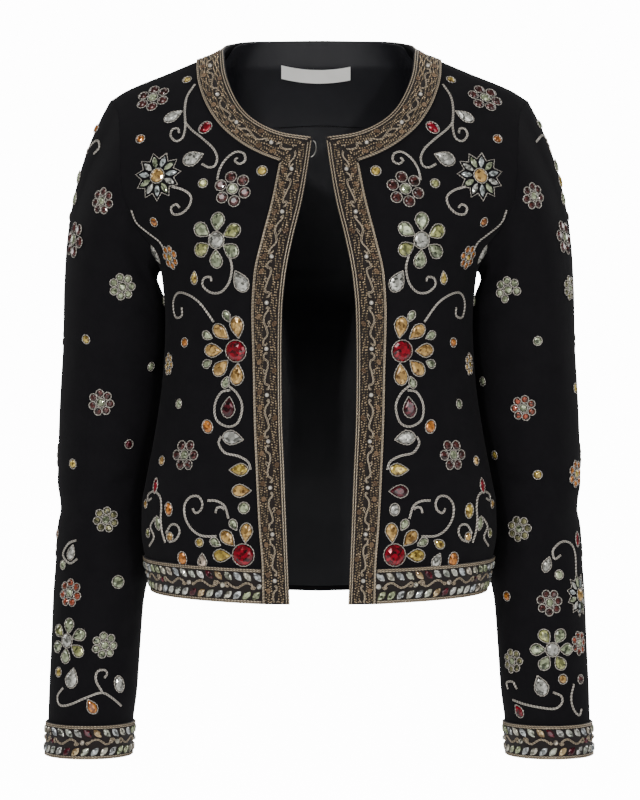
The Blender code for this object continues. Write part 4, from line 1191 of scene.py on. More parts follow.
@dataclass
class Work:
    """Gathers many small shapes and cords, then makes one object of them."""

    name: str
    points: list[Net] = field(default_factory=list)
    faces: list[list[tuple[int, ...]]] = field(default_factory=list)
    tints: list[Net] = field(default_factory=list)
    maps: list[Net] = field(default_factory=list)
    count: int = 0

    def add(self, points: Net, faces: Sequence[tuple[int, ...]], uv: Net | None = None,
            tint: Sequence[float] = WHITE) -> None:
        """Adds a shape's points and faces with their map and tint."""
        start = self.count
        self.points.append(points)
        self.faces.append([tuple(start + i for i in face) for face in faces])
        self.tints.append(np.tile((*tint, 1.0), (len(points), 1)))
        self.maps.append(np.zeros((len(points), 2)) if uv is None else uv)
        self.count += len(points)

    def place(self, shape: Shape, centre: Net, axes: Net, size: Sequence[float],
              tint: Sequence[float] = WHITE, cut: Cut = Cut.ROUND) -> None:
        """Adds one copy of a shape.

        Args:
            shape: the shape, radius one.
            centre: where its foot stands.
            axes: along, across and up, as rows.
            size: half length, half width and height scale, in metres.
            tint: colour that its finish is multiplied by.
            cut: the outline that it is drawn out to.
        """
        local = outline(shape.points, cut) * np.asarray(size)
        self.add(centre + local @ axes, shape.faces, None, tint)

    def tube(self, path: Net, normals: Net, radius: float, sides: int = 5,
             closed: bool = False, tint: Sequence[float] = WHITE) -> None:
        """Adds a cord along a path, with the length along it in its map.

        Args:
            path: points of the cord's middle line.
            normals: which way is up at each.
            radius: radius of the cord, in metres.
            sides: how many flat sides it has.
            closed: whether its last point meets the first.
            tint: colour that its finish is multiplied by.
        """
        if closed:
            path = np.concatenate((path, path[:1]))
            normals = np.concatenate((normals, normals[:1]))
        way = unit(np.gradient(path, axis=0))
        across = unit(np.cross(normals, way))
        up = unit(np.cross(way, across))
        turn = 2 * math.pi * np.arange(sides) / sides
        ring = (across[:, None] * np.cos(turn)[None, :, None]
                + up[:, None] * np.sin(turn)[None, :, None]) * radius
        points = (path[:, None] + ring).reshape(-1, 3)
        run = np.repeat(arc_lengths(path), sides)
        uv = np.stack((run, np.tile(np.abs(np.arange(sides) / sides - 0.5) * 2, len(path))), axis=-1)
        faces = []
        for i in range(len(path) - 1):
            for k in range(sides):
                a, b = i * sides + k, i * sides + (k + 1) % sides
                faces.append((a, b, b + sides, a + sides))
        if not closed:
            last = (len(path) - 1) * sides
            faces.append(tuple(range(sides))[::-1])
            faces.append(tuple(last + k for k in range(sides)))
        self.add(points, faces, uv, tint)

    def build(self, smooth_faces: bool) -> Piece:
        """One object of all that was added, with its map and its tints."""
        mesh = bpy.data.meshes.new(self.name)
        points = np.concatenate(self.points)
        mesh.from_pydata(points.tolist(), [], [face for part in self.faces for face in part])
        corner = np.zeros(len(mesh.loops), int)
        mesh.loops.foreach_get("vertex_index", corner)
        layer = mesh.uv_layers.new(name="UVMap")
        layer.data.foreach_set("uv", np.concatenate(self.maps)[corner].ravel())
        colour = mesh.color_attributes.new(name="tint", type="FLOAT_COLOR", domain="POINT")
        colour.data.foreach_set("color", np.concatenate(self.tints).ravel())
        obj = bpy.data.objects.new(self.name, mesh)
        bpy.context.collection.objects.link(obj)
        if smooth_faces:
            select_only(obj)
            bpy.ops.object.shade_smooth_by_angle(angle=math.radians(60))
        return obj


# Beadwork


@dataclass
class Kit:
    """The small shapes and the pieces of beadwork that all the trims add to."""

    stone: Shape = field(default_factory=lambda: StoneModel().build())
    bead: Shape = field(default_factory=lambda: dome(6, 4, 0.0))
    pearl: Shape = field(default_factory=lambda: dome(12, 8, -0.2))
    works: dict[Slot, Work] = field(default_factory=dict)

    def work(self, slot: Slot) -> Work:
        """The work that gathers everything with one finish."""
        if slot not in self.works:
            self.works[slot] = Work(f"beadwork_{slot.value}")
        return self.works[slot]

    def build(self, fitting: Fitting) -> None:
        """One piece for each finish."""
        for slot, work in self.works.items():
            smooth_faces = slot in (Slot.CORD, Slot.PEARLS, Slot.BEADS)
            fitting.fit(work.build(smooth_faces), slot)


def wobble(seed: float) -> float:
    """A number from 0 to 1 that is fixed by a seed."""
    return math.sin(seed * 127.1 + 3.7) * 43758.5453 % 1.0


def curve_through(points: Rows, step: float) -> Net:
    """A smooth curve through points of the plane.

    Args:
        points: the points, in any unit.
        step: distance between the curve's points, in the same unit.

    Returns:
        Points along the curve.
    """
    found = np.array(points, float)
    ends = np.concatenate(([2 * found[0] - found[1]], found, [2 * found[-1] - found[-2]]))
    curve = []
    for i in range(len(found) - 1):
        a, b, c, d = ends[i:i + 4]
        count = max(2, int(np.linalg.norm(c - b) / step) + 1)
        t = np.linspace(0, 1, count, endpoint=False)[:, None]
        curve.append(0.5 * (2 * b + (c - a) * t + (2 * a - 5 * b + 4 * c - d) * t ** 2
                            + (3 * b - a - 3 * c + d) * t ** 3))
    return np.concatenate(curve + [found[-1:]])


BAND_CORD = (0.84, 0.74, 0.60)   # cords of the bands are a little more golden


@dataclass
class Trim:
    ribbon: Ribbon
    kit: Kit
    half: float = field(init=False)
    length: float = field(init=False)

    def __post_init__(self) -> None:
        """Measures the band."""
        width = float(np.linalg.norm(np.diff(self.ribbon.points, axis=1), axis=2).sum(1).mean())
        self.half, self.length = width / 2, self.ribbon.length

    def spot(self, run: float, across: float, lift: float) -> NetPair:
        """One point of the band and its normal; run and across are in metres."""
        point, normal = self.ribbon.at(np.array([run]), np.array([across / self.half]), lift)
        return point[0], normal[0]

    def edge_cord(self, run: Net, across: float, lift: float, radius: float) -> None:
        """A straight cord along the band, at a share of its half width."""
        points, normals = self.ribbon.at(run, np.full(len(run), across), lift)
        self.kit.work(Slot.CORD).tube(points, normals, radius, tint=BAND_CORD)

    def curved_cord(self, shape: Rows, step: float, start: float, flip: float,
                    gap: float, margin: float, lift: float, radius: float) -> None:
        """One cord of a scroll.

        Args:
            shape: its points in millimetres, along and across the band.
            step: distance between the curve's points, in millimetres.
            start: where it starts along the band, in metres.
            flip: factor on its reach across.
            gap: how far it lies beside the drawn curve.
            margin: how far it stays off the band's ends.
            lift: height of its middle line over the band.
            radius: radius of the cord.
        """
        curve = curve_through(shape, step) * MM
        curve[:, 1] *= flip
        if gap:
            way = unit(np.gradient(curve, axis=0))
            curve = curve + np.stack((-way[:, 1], way[:, 0]), axis=-1) * gap
        run = curve[:, 0] + start
        keep = (run > margin) & (run < self.length - margin)
        if keep.sum() > 4:
            points, normals = self.ribbon.at(run[keep], curve[keep, 1] / self.half, lift)
            self.kit.work(Slot.CORD).tube(points, normals, radius, tint=BAND_CORD)


@dataclass
class BeadedTrim(Trim):
    """Seed beads, flower clusters, scrolls, cords and pearls on one beaded band."""

    double_edge: float
    repeat: float = 0.041
    first_pearl: float = 0.021
    pitch: float = 0.0023
    chain_gap: float = 0.0022
    bead: float = 0.00068
    pearl: float = 0.0020
    cord: float = 0.00048
    # One scroll in millimetres along and across the band, from pearl to pearl
    scroll: tuple[Pair, ...] = (
        (5.0, 0.6), (4.2, -1.8), (6.6, -3.0), (9.0, -1.8), (10.2, 0.8), (13.5, 2.0), (18.0, 0.6),
        (20.5, -0.2), (24.0, -1.8), (28.0, -2.0), (31.0, -0.6), (32.6, 1.8), (35.2, 2.8),
        (37.0, 1.2), (35.8, -0.6))
    leaf: tuple[Pair, ...] = ((18.0, 0.6), (20.5, 3.2), (23.6, 3.4), (21.6, 1.2))

    def build(self) -> None:
        """All the work on this band."""
        pearls = np.arange(self.first_pearl, self.length - 0.004, self.repeat)
        starts = np.concatenate(([pearls[0] - self.repeat], pearls))
        clusters = [(p + self.repeat * share, side * self.half * 0.52) for p in starts
                    for share, side in ((0.12, 1.0), (0.46, -1.0), (0.78, 1.0))
                    if 0.004 < p + self.repeat * share < self.length - 0.004]
        self.cords()
        self.scrolls(starts)
        self.clusters(clusters)
        self.chains(pearls, clusters)

    def cords(self) -> None:
        """The edge cords, doubled along the garment's edge."""
        run = np.arange(0.0005, self.length, 0.0032)
        for edge in (-1.0, 1.0):
            doubled = edge == self.double_edge
            for line in range(2 if doubled else 1):
                across = edge * (1 - (0.0007 + 0.0023 * line) / self.half)
                self.edge_cord(run, across, self.cord * 0.8, self.cord * 1.05)
                if not doubled:
                    self.edge_cord(run, across - edge * 0.0012 / self.half, self.cord * 0.6,
                                   self.cord * 0.75)

    def scrolls(self, starts: Net) -> None:
        """Double cords in scrolls down the middle, with a pearl between each two."""
        for number, start in enumerate(starts):
            flip = 0.9 if number % 2 else -0.9
            for shape, gap in ((self.scroll, 0.0), (self.scroll, 0.0010), (self.leaf, 0.0)):
                self.curved_cord(shape, 1.0, start, flip, gap, 0.0015, self.cord * 0.8, self.cord * 0.72)
        for run in starts[1:]:
            point, normal = self.spot(run, 0.0, 0.0002)
            axes = frame_at(normal, UP)
            self.kit.work(Slot.PEARLS).place(self.kit.pearl, point + axes[2] * self.pearl * 0.3,
                                             axes, (self.pearl,) * 3)

    def clusters(self, clusters: Sequence[Pair]) -> None:
        """Small flowers of seed beads on both sides of the scrolls."""
        work = self.kit.work(Slot.BEADS)
        for number, (run, across) in enumerate(clusters):
            spots = [(0.0, 0.0, 1.0)]
            spots += [(math.cos(turn) * 0.0017, math.sin(turn) * 0.0017, 1.15)
                      for turn in np.arange(7) * 2 * math.pi / 7 + number]
            tint = (0.27, 0.215, 0.19) if number % 3 else (0.44, 0.37, 0.32)
            for dx, dy, scale in spots:
                point, normal = self.spot(run + dx, across + dy, 0.0)
                size = self.bead * scale * 1.25
                work.place(self.kit.bead, point, frame_at(normal, UP), (size, size, size * 1.5), tint)

    def chains(self, pearls: Net, clusters: Sequence[Pair]) -> None:
        """Winding chains of seed beads over the rest of the ground."""
        work = self.kit.work(Slot.BEADS)
        spots = np.array([(run, across, 0.0031) for run, across in clusters]
                         + [(run, 0.0, 0.0030) for run in pearls])
        count = int((self.half - 0.0042) / self.chain_gap)
        for side in (-1.0, 1.0):
            for line in range(count + 1):
                base = side * (self.half - 0.0040 - line * self.chain_gap)
                if abs(base) < 0.0034 or (side == self.double_edge and line == 0):
                    continue
                run = np.arange(0.0015 + 0.0011 * (line % 2), self.length - 0.001, self.pitch)
                run = run + 0.00032 * np.sin(run * 3100 + line * 1.3)
                bend = 0.00055 * np.sin(run * 420 + line * 2.1 + side)
                across = base + bend
                gaps = np.hypot(run[:, None] - spots[:, 0], across[:, None] - spots[:, 1])
                free = (gaps > spots[:, 2]).all(axis=1)
                points, normals = self.ribbon.at(run[free], across[free] / self.half, 0.0)
                for i, (point, normal) in enumerate(zip(points, normals)):
                    size = self.bead * (0.9 + 0.25 * wobble(i + line * 31.0))
                    light = 0.30 + 0.90 * wobble(i * 1.7 + line) ** 1.5
                    work.place(self.kit.bead, point, frame_at(normal, UP),
                               (size, size, size * 1.35), (light, light * 0.96, light * 0.88))


# Colours of the slanted stones in turn: slot and tint
BAND_STONES = (
    (Slot.CLEAR, (1.0, 1.0, 1.0)), (Slot.CLEAR, (0.88, 0.94, 1.05)), (Slot.GREEN, (1.2, 1.15, 1.1)),
    (Slot.CLEAR, (1.0, 0.96, 0.84)), (Slot.TOPAZ, (0.95, 1.15, 1.9)), (Slot.CLEAR, (0.95, 1.0, 0.92)),
    (Slot.CLEAR, (1.0, 0.88, 0.76)), (Slot.GREEN, (1.1, 1.1, 1.0)), (Slot.CLEAR, (0.92, 0.97, 1.05)),
    (Slot.RED, (0.30, 1.0, 0.8)), (Slot.CLEAR, (1.0, 1.0, 0.94)), (Slot.CLEAR, (1.0, 0.95, 0.80)),
    (Slot.CLEAR, (0.95, 0.98, 1.05)), (Slot.CLEAR, (0.90, 0.94, 0.80)))


@dataclass
class JewelledTrim(Trim):
    """Two rows of slanted stones, a scrolling cord between them and corded edges."""

    way: float = 1.0
    pitch: float = 0.0089
    stone: Pair = (0.0050, 0.0028)
    slant: float = 46.0
    repeat: float = 0.0340
    cord: float = 0.00048
    # Scroll in millimetres along and across, between two round stones
    scroll: tuple[Pair, ...] = (
        (3.2, 0.8), (4.6, 2.4), (6.8, 2.6), (7.6, 1.0), (6.2, 0.2), (5.4, 1.4), (8.0, -1.4),
        (12.0, -2.2), (16.0, 0.0), (20.0, 2.2), (24.5, 1.6), (27.6, -0.6), (29.6, -2.0),
        (31.0, -0.8), (29.8, 0.6), (28.2, 0.0))

    def build(self) -> None:
        """All the work on this band."""
        run = np.arange(0.0008, self.length, 0.0034)
        for inset in (0.0009, 0.0024):
            for edge in (-1, 1):
                self.edge_cord(run, edge * (1 - inset / self.half), self.cord * 0.7, self.cord * 1.1)
        count = int((self.length - 0.006) / self.pitch)
        for row, across in enumerate((0.0084, -0.0084)):
            for i in range(count + 1):
                at = 0.0035 + i * self.pitch + 0.0015 * row
                if at <= self.length - 0.003:
                    number = i * 5 + row * 4 + int(self.length * 1000)
                    self.set_stone(at, across, number, 1.0 if row else -1.0)
        for number, start in enumerate(np.arange(0.002, self.length, self.repeat)):
            flip = 1.0 if number % 2 else -1.0
            for gap in (0.0, 0.0010):
                self.curved_cord(self.scroll, 1.2, start, flip, gap, 0.001, self.cord * 0.7,
                                 self.cord * 0.8)
            point, normal = self.spot(start, 0.0, 0.0003)
            slot, tint = BAND_STONES[(number * 3) % len(BAND_STONES)]
            self.kit.work(slot).place(self.kit.stone, point, frame_at(normal, UP),
                                      (0.0024, 0.0024, 0.0030), tint)

    def set_stone(self, at: float, across: float, number: int, lean: float) -> None:
        """One slanted stone.

        Args:
            at: distance along the band, in metres.
            across: distance from its middle line.
            number: which of the band's colours it takes, counted round.
            lean: which way it slants, 1 or -1.
        """
        slot, tint = BAND_STONES[number % len(BAND_STONES)]
        point, normal = self.spot(at, across, 0.0002)
        ahead, _ = self.spot(min(at + 0.002, self.length), across, 0.0002)
        back, _ = self.spot(max(at - 0.002, 0.0), across, 0.0002)
        axes = frame_at(normal, ahead - back)
        turn = math.radians(90 - self.slant) * lean * self.way
        rise = 1.0 if axes[1][2] > 0 else -1.0
        way = axes[0] * math.cos(turn) + axes[1] * math.sin(turn) * rise
        self.kit.work(slot).place(self.kit.stone, point, frame_at(normal, way),
                                  (*self.stone, 0.0024), tint, Cut.MARQUISE)


# Jewelled flowers, stones and vines


class Colour(Enum):
    """Colours of the single stones: slot and tint."""

    CLEAR = (Slot.CLEAR, (1.0, 1.0, 0.98))
    BLUE = (Slot.CLEAR, (0.84, 0.93, 1.0))
    PINK = (Slot.CLEAR, (1.0, 0.80, 0.68))
    CITRINE = (Slot.TOPAZ, (0.95, 1.12, 0.75))
    TOPAZ = (Slot.TOPAZ, (1.0, 1.0, 1.0))
    ORANGE = (Slot.TOPAZ, (0.95, 0.55, 0.30))
    GREEN = (Slot.GREEN, (1.0, 1.0, 1.0))
    KHAKI = (Slot.GREEN, (0.62, 0.52, 0.40))
    LIME = (Slot.GREEN, (1.1, 1.0, 0.62))
    GARNET = (Slot.RED, (0.30, 9.0, 1.4))
    CORAL = (Slot.RED, (1.05, 22.0, 1.6))
    RUBY = (Slot.RED, (1.0, 1.0, 1.0))
    WINE = (Slot.RED, (0.30, 3.0, 1.0))


class Flower(Enum):
    """Kinds of flowers: centre colour, petal colours, how many petals."""

    GARNET = (Colour.GREEN, (Colour.GARNET,), 6)
    KHAKI = (Colour.GREEN, (Colour.KHAKI, Colour.GREEN), 7)
    CORAL = (Colour.GREEN, (Colour.CORAL, Colour.GARNET), 7)
    ORANGE = (Colour.CITRINE, (Colour.ORANGE, Colour.TOPAZ), 7)
    DAISY = (Colour.TOPAZ, (Colour.CLEAR, Colour.GREEN, Colour.BLUE), 11)
    PEAR = (Colour.CLEAR, (Colour.GREEN, Colour.GREEN, Colour.LIME), 6)


R, O, P, M = Cut.ROUND, Cut.OVAL, Cut.PEAR, Cut.MARQUISE
C, F = Colour, Flower
# How far forward the charts of the fronts and of the sleeves are drawn, in metres
FRONT_CHART, SLEEVE_CHART = -0.109, -0.0136

# On both fronts: centre in the front view, radius, kind
FRONT_FLOWERS = (
    (146, -55, 17, F.GARNET), (142, -123.5, 20.5, F.DAISY), (76, -135, 18, F.GARNET),
    (90, -180, 25, F.PEAR), (131, -195, 12, F.ORANGE), (118, -369, 15, F.GARNET),
    (132, -289, 11, F.ORANGE))
# On both fronts: centre, cut, half length, half width, where the tip points, colour
FRONT_STONES = (
    (116, -39, R, 3.4, 3.4, 0, C.CITRINE), (128, -71, P, 8.5, 5.2, 145, C.CLEAR),
    (110.5, -108, P, 9.0, 6.6, 160, C.CLEAR), (100, -81, O, 6.0, 4.6, 120, C.RUBY),
    (157, -91, R, 3.4, 3.4, 0, C.ORANGE), (102, -130, R, 3.4, 3.4, 0, C.LIME),
    (145, -164, R, 3.4, 3.4, 0, C.ORANGE), (50, -119, R, 3.8, 3.8, 0, C.CITRINE),
    (143.5, -192, M, 9.0, 5.0, 80, C.CLEAR), (69, -216, P, 9.5, 6.4, 60, C.CLEAR),
    (109.5, -213, P, 5.2, 3.4, 100, C.CITRINE), (136, -233.5, R, 3.4, 3.4, 0, C.GREEN),
    (73, -277.5, R, 9.0, 9.0, 0, C.RUBY), (72, -256.5, P, 9.0, 6.0, 265, C.TOPAZ),
    (86, -261, P, 8.5, 5.6, 215, C.TOPAZ), (92.5, -277, P, 8.5, 5.6, 180, C.TOPAZ),
    (86, -292, P, 8.5, 5.6, 140, C.TOPAZ), (72, -298, P, 9.0, 6.0, 95, C.TOPAZ),
    (81, -247, P, 4.6, 3.0, 245, C.GREEN), (98, -264, P, 4.8, 3.2, 200, C.GREEN),
    (98, -288.5, P, 4.8, 3.2, 160, C.GREEN), (82, -305, P, 4.6, 3.0, 110, C.GREEN),
    (79.6, -327, P, 8.6, 6.0, 95, C.WINE), (118, -270, R, 3.4, 3.4, 0, C.ORANGE),
    (123, -324, R, 3.4, 3.4, 0, C.GREEN), (98, -344, O, 5.4, 4.2, 60, C.ORANGE),
    (75.5, -354, P, 9.0, 5.8, 190, C.CLEAR), (70.5, -382, P, 8.0, 5.0, 0, C.CITRINE),
    (68, -400.5, P, 8.0, 5.2, 180, C.TOPAZ), (66, -415.5, R, 4.2, 4.2, 0, C.GREEN),
    (138, -374, R, 3.4, 3.4, 0, C.TOPAZ), (143.5, -396, M, 6.4, 3.2, 80, C.RUBY),
    (152, -412, R, 3.2, 3.2, 0, C.TOPAZ), (132, -416.5, O, 5.4, 3.8, 70, C.ORANGE),
    (141.5, -429, M, 6.0, 3.0, 60, C.GREEN), (150, -437.5, R, 3.2, 3.2, 0, C.LIME),
    (131, -441, R, 3.4, 3.4, 0, C.TOPAZ), (66.5, -457, R, 9.2, 9.2, 0, C.RUBY),
    (64, -437.5, P, 8.0, 5.2, 275, C.TOPAZ), (80, -442.5, P, 8.0, 5.2, 225, C.TOPAZ),
    (85, -457.5, P, 8.0, 5.2, 180, C.CITRINE), (75, -430.5, P, 4.6, 3.0, 240, C.GREEN),
    (91, -446, P, 4.8, 3.2, 205, C.GREEN), (105, -446, R, 3.0, 3.0, 0, C.CITRINE),
    (120, -460, O, 5.4, 4.2, 80, C.ORANGE), (102.5, -462, P, 6.0, 4.0, 90, C.PINK))
# Stones that differ on the wearer's left front, by their place in the list above
LEFT_CHANGES = {
    28: (70, -401, P, 8.0, 5.2, 180, C.WINE), 29: (66.5, -417, O, 4.6, 3.6, 80, C.CLEAR),
    33: (132, -418, O, 6.0, 4.4, 70, C.CITRINE), 43: (105.5, -447, P, 5.0, 3.4, 150, C.CITRINE),
    44: (118, -461, O, 6.0, 4.8, 80, C.ORANGE), 45: (103.5, -462, P, 6.4, 4.0, 60, C.CLEAR)}
# Double cords on both fronts, as points in the front view
FRONT_VINES = (
    ((109, -43), (116, -54), (118, -66), (117.5, -80), (120, -90), (126, -93), (130.5, -88),
     (128.5, -82.5), (124, -82), (123, -86)),
    ((118, -76), (112, -83), (102, -91), (93, -99.5), (89.5, -107.5), (91.5, -114.5), (97, -116),
     (103, -113)),
    ((129, -133), (119, -136), (112.5, -142), (114.5, -150.5), (121, -156.5), (128, -157),
     (130, -151.5), (125.5, -148.5), (122.5, -151.5)),
    ((89.5, -127), (87, -117), (81, -108), (73, -102.5), (66, -104), (65, -110), (70, -113),
     (74, -110), (71.5, -107.5)),
    ((165, -153.5), (160, -165), (147.5, -175.5), (140, -181.5), (135.5, -189.5)),
    ((79, -193), (76.5, -204), (79, -217), (86, -225.5), (95, -226), (102, -220), (101, -213.5),
     (95.5, -212.5), (94.5, -216)),
    ((92.5, -252), (104, -236), (115, -228), (124, -226.5), (128, -235), (126, -247.5),
     (120.5, -246.5), (120.5, -239)),
    ((80, -307.5), (72, -315), (67.5, -326), (71, -340), (80, -344), (90, -338), (91.5, -325),
     (86, -314), (78, -312)),
    ((86, -352.5), (88, -359), (82.5, -367), (71, -370), (62.5, -375), (60, -382)),
    ((111, -416), (108.5, -420), (104, -417.5), (102.5, -411.5), (106, -405.5), (113, -406),
     (118, -413), (117.5, -424), (112, -434), (103, -440), (90, -440.5)),
    ((98, -409), (90, -409.5), (83, -414), (79.5, -425)),
    ((91, -420), (89.5, -415.5), (85.5, -415), (83.5, -417)),
    ((147, -407), (150, -409), (150, -404), (145, -401), (140, -405), (138.5, -414), (139, -424),
     (138, -436), (135, -446)),
    ((134.5, -438), (130, -430.5), (124.5, -431), (122.5, -437), (126, -443.5), (131.5, -445.5)),
    ((144, -424), (148, -432), (145, -441), (149, -449)))

# On each sleeve as seen from the front: distance from the middle, height, radius, kind
SLEEVE_FLOWERS = {
    -1: ((198.5, -138.5, 13, F.CORAL), (224, -174, 18, F.GARNET),
         (180, -217, 13, F.KHAKI), (199.5, -323, 13, F.CORAL),
         (195, -430, 12.5, F.KHAKI), (228, -497, 14, F.CORAL),
         (230, -541, 21, F.PEAR), (196, -545, 13, F.KHAKI)),
    1: ((196.5, -134, 13, F.CORAL), (224.5, -172, 17, F.GARNET),
        (173, -220, 13, F.KHAKI), (229, -218, 12, F.KHAKI),
        (187, -328, 12.5, F.CORAL), (235, -388, 14, F.ORANGE),
        (183, -438.5, 12.5, F.KHAKI), (238, -499, 18, F.DAISY),
        (211, -506, 13, F.CORAL), (213.5, -549, 21, F.PEAR),
        (238, -543, 12, F.CORAL), (177, -559.5, 12, F.KHAKI)),
}
SLEEVE_STONES = {
    -1: ((206, -72.5, R, 3.6, 3.6, 0, C.ORANGE), (219.5, -116.5, P, 5.5, 3.6, 60, C.GREEN),
         (223, -136, P, 5.5, 3.6, 80, C.GREEN), (213, -265, R, 3.3, 3.3, 0, C.CITRINE),
         (154, -290, R, 3.3, 3.3, 0, C.GREEN), (174, -361, R, 3.3, 3.3, 0, C.WINE),
         (225, -379, R, 3.6, 3.6, 0, C.CITRINE), (240, -443, R, 3.4, 3.4, 0, C.ORANGE),
         (226.5, -460, P, 6.5, 3.8, 110, C.CLEAR), (234, -471.5, R, 3.4, 3.4, 0, C.GREEN),
         (184, -487, R, 5.0, 5.0, 0, C.GREEN), (238, -569.5, R, 3.6, 3.6, 0, C.CITRINE),
         (226, -575, P, 8.5, 5.8, 100, C.CLEAR), (183, -580.5, O, 7.0, 4.4, 75, C.CLEAR),
         (208, -601, P, 6.5, 4.2, 60, C.ORANGE)),
    1: ((206.5, -68.5, R, 3.6, 3.6, 0, C.GREEN), (221, -106, P, 5.5, 3.6, 60, C.GREEN),
        (223, -120, P, 5.5, 3.6, 80, C.CITRINE), (223, -136, P, 5.5, 3.6, 90, C.GREEN),
        (200, -266.5, R, 3.3, 3.3, 0, C.GREEN), (150, -303.5, R, 3.3, 3.3, 0, C.GREEN),
        (234, -309.5, R, 3.6, 3.6, 0, C.CITRINE), (200, -389, R, 3.3, 3.3, 0, C.CITRINE),
        (161, -371, R, 3.3, 3.3, 0, C.CITRINE), (236, -448, M, 6.5, 3.2, 85, C.RUBY),
        (208.5, -471, P, 6.5, 3.8, 70, C.CLEAR), (219.5, -480.5, R, 3.6, 3.6, 0, C.GREEN),
        (172, -500, R, 3.6, 3.6, 0, C.ORANGE), (223, -576, R, 3.6, 3.6, 0, C.TOPAZ),
        (203, -582, P, 8.8, 6.0, 110, C.CLEAR), (239, -576, R, 3.4, 3.4, 0, C.GARNET),
        (183, -605, P, 6.0, 4.0, 140, C.RUBY)),
}
SLEEVE_VINES = {
    -1: (((215, -96.5), (207, -86), (202, -83.5), (201, -90), (206, -95.5)),
         ((222, -449), (229, -452), (234, -462), (228, -470), (221, -466)),
         ((234, -584), (239, -591.5), (237, -599.5), (228.5, -599.5), (212, -592.5), (198.5, -588.5),
          (189, -593.5), (181, -600.5)),
         ((198.5, -587.5), (204, -577.5), (203, -569.5), (196.5, -567.5), (194, -571), (196.5, -575))),
    1: (((198.5, -84.5), (205, -78.5), (213, -86.5), (217, -95.5)),
        ((221, -462.5), (215.5, -466), (214, -458), (221.5, -450.5), (229.5, -451.5), (234, -460.5),
         (235, -480)),
        ((214, -588), (221.5, -591.5), (222, -598), (215.5, -603), (203, -602), (188.5, -599),
         (177.5, -595)),
        ((181, -585), (177.5, -578.5), (172, -579), (173, -585)),
        ((233, -580.5), (230.5, -593.5), (233, -604), (238, -609), (240, -603))),
}
# Round the outer side and the back of both sleeves: height, direction round it, radius, kind
SLEEVE_AROUND = (
    (-150, 196, 14, F.GARNET), (-210, 232, 13, F.KHAKI), (-262, 186, 13, F.CORAL),
    (-318, 240, 13, F.GARNET), (-372, 196, 13, F.KHAKI), (-430, 246, 13, F.CORAL),
    (-548, 214, 20, F.PEAR), (-500, 262, 13, F.KHAKI), (-560, 278, 13, F.CORAL),
    (-462, 205, 12, F.ORANGE))
SLEEVE_DOTS = (
    (-118, 216, C.CITRINE), (-182, 262, C.GREEN), (-236, 206, C.ORANGE), (-290, 212, C.CITRINE),
    (-350, 268, C.GREEN), (-402, 222, C.CITRINE), (-450, 276, C.ORANGE), (-520, 238, C.GREEN),
    (-590, 236, C.CITRINE), (-592, 300, C.GREEN), (-606, 208, C.ORANGE), (-340, 320, C.CITRINE))


@dataclass
class Ground:
    """The cloth that stones and cords are sewn on."""

    tree: BVHTree
    eye: Vector = field(default_factory=lambda: Vector(CAMERA_PLACE))
    chart_y: float = FRONT_CHART

    @classmethod
    def of(cls, objs: Sequence[Piece]) -> "Ground":
        """The outer faces of several pieces of cloth."""
        points, faces, start = [], [], 0
        for obj in objs:
            points += [vertex.co.copy() for vertex in obj.data.vertices]
            faces += [tuple(start + i for i in polygon.vertices) for polygon in obj.data.polygons]
            start = len(points)
        return cls(BVHTree.FromPolygons(points, faces))

    def seen(self, x: float, z: float) -> NetPair | None:
        """Point and normal that the camera sees behind a place of a chart, or None."""
        way = Vector((x, self.chart_y, z)) - self.eye
        point, normal, _, _ = self.tree.ray_cast(self.eye, way.normalized())
        return None if point is None or point.y > 0.06 else (np.array(point), np.array(normal))

    def nearest_seen(self, x: float, z: float) -> NetPair | None:
        """The same, moved towards the middle until the cloth is there."""
        for step in range(14):
            found = self.seen(x * (1 - 0.004 * step), z)
            if found is not None:
                return found
        return None

    def from_side(self, sign: float, z: float, turn: float) -> NetPair | None:
        """Point and normal on a sleeve at a height and a direction round it."""
        angle = math.radians(turn)
        out = Vector((-math.cos(angle) * sign, -math.sin(angle), 0.0))
        middle = Vector((sign * 0.200, 0.034 if z < -0.25 else 0.012, z))
        point, normal, _, _ = self.tree.ray_cast(middle + out * 0.2, -out)
        return None if point is None else (np.array(point), np.array(normal))

    def near(self, point: Net) -> NetPair:
        """The closest point of the cloth and the normal there."""
        found, normal, _, _ = self.tree.find_nearest(Vector(point))
        return np.array(found), np.array(normal)


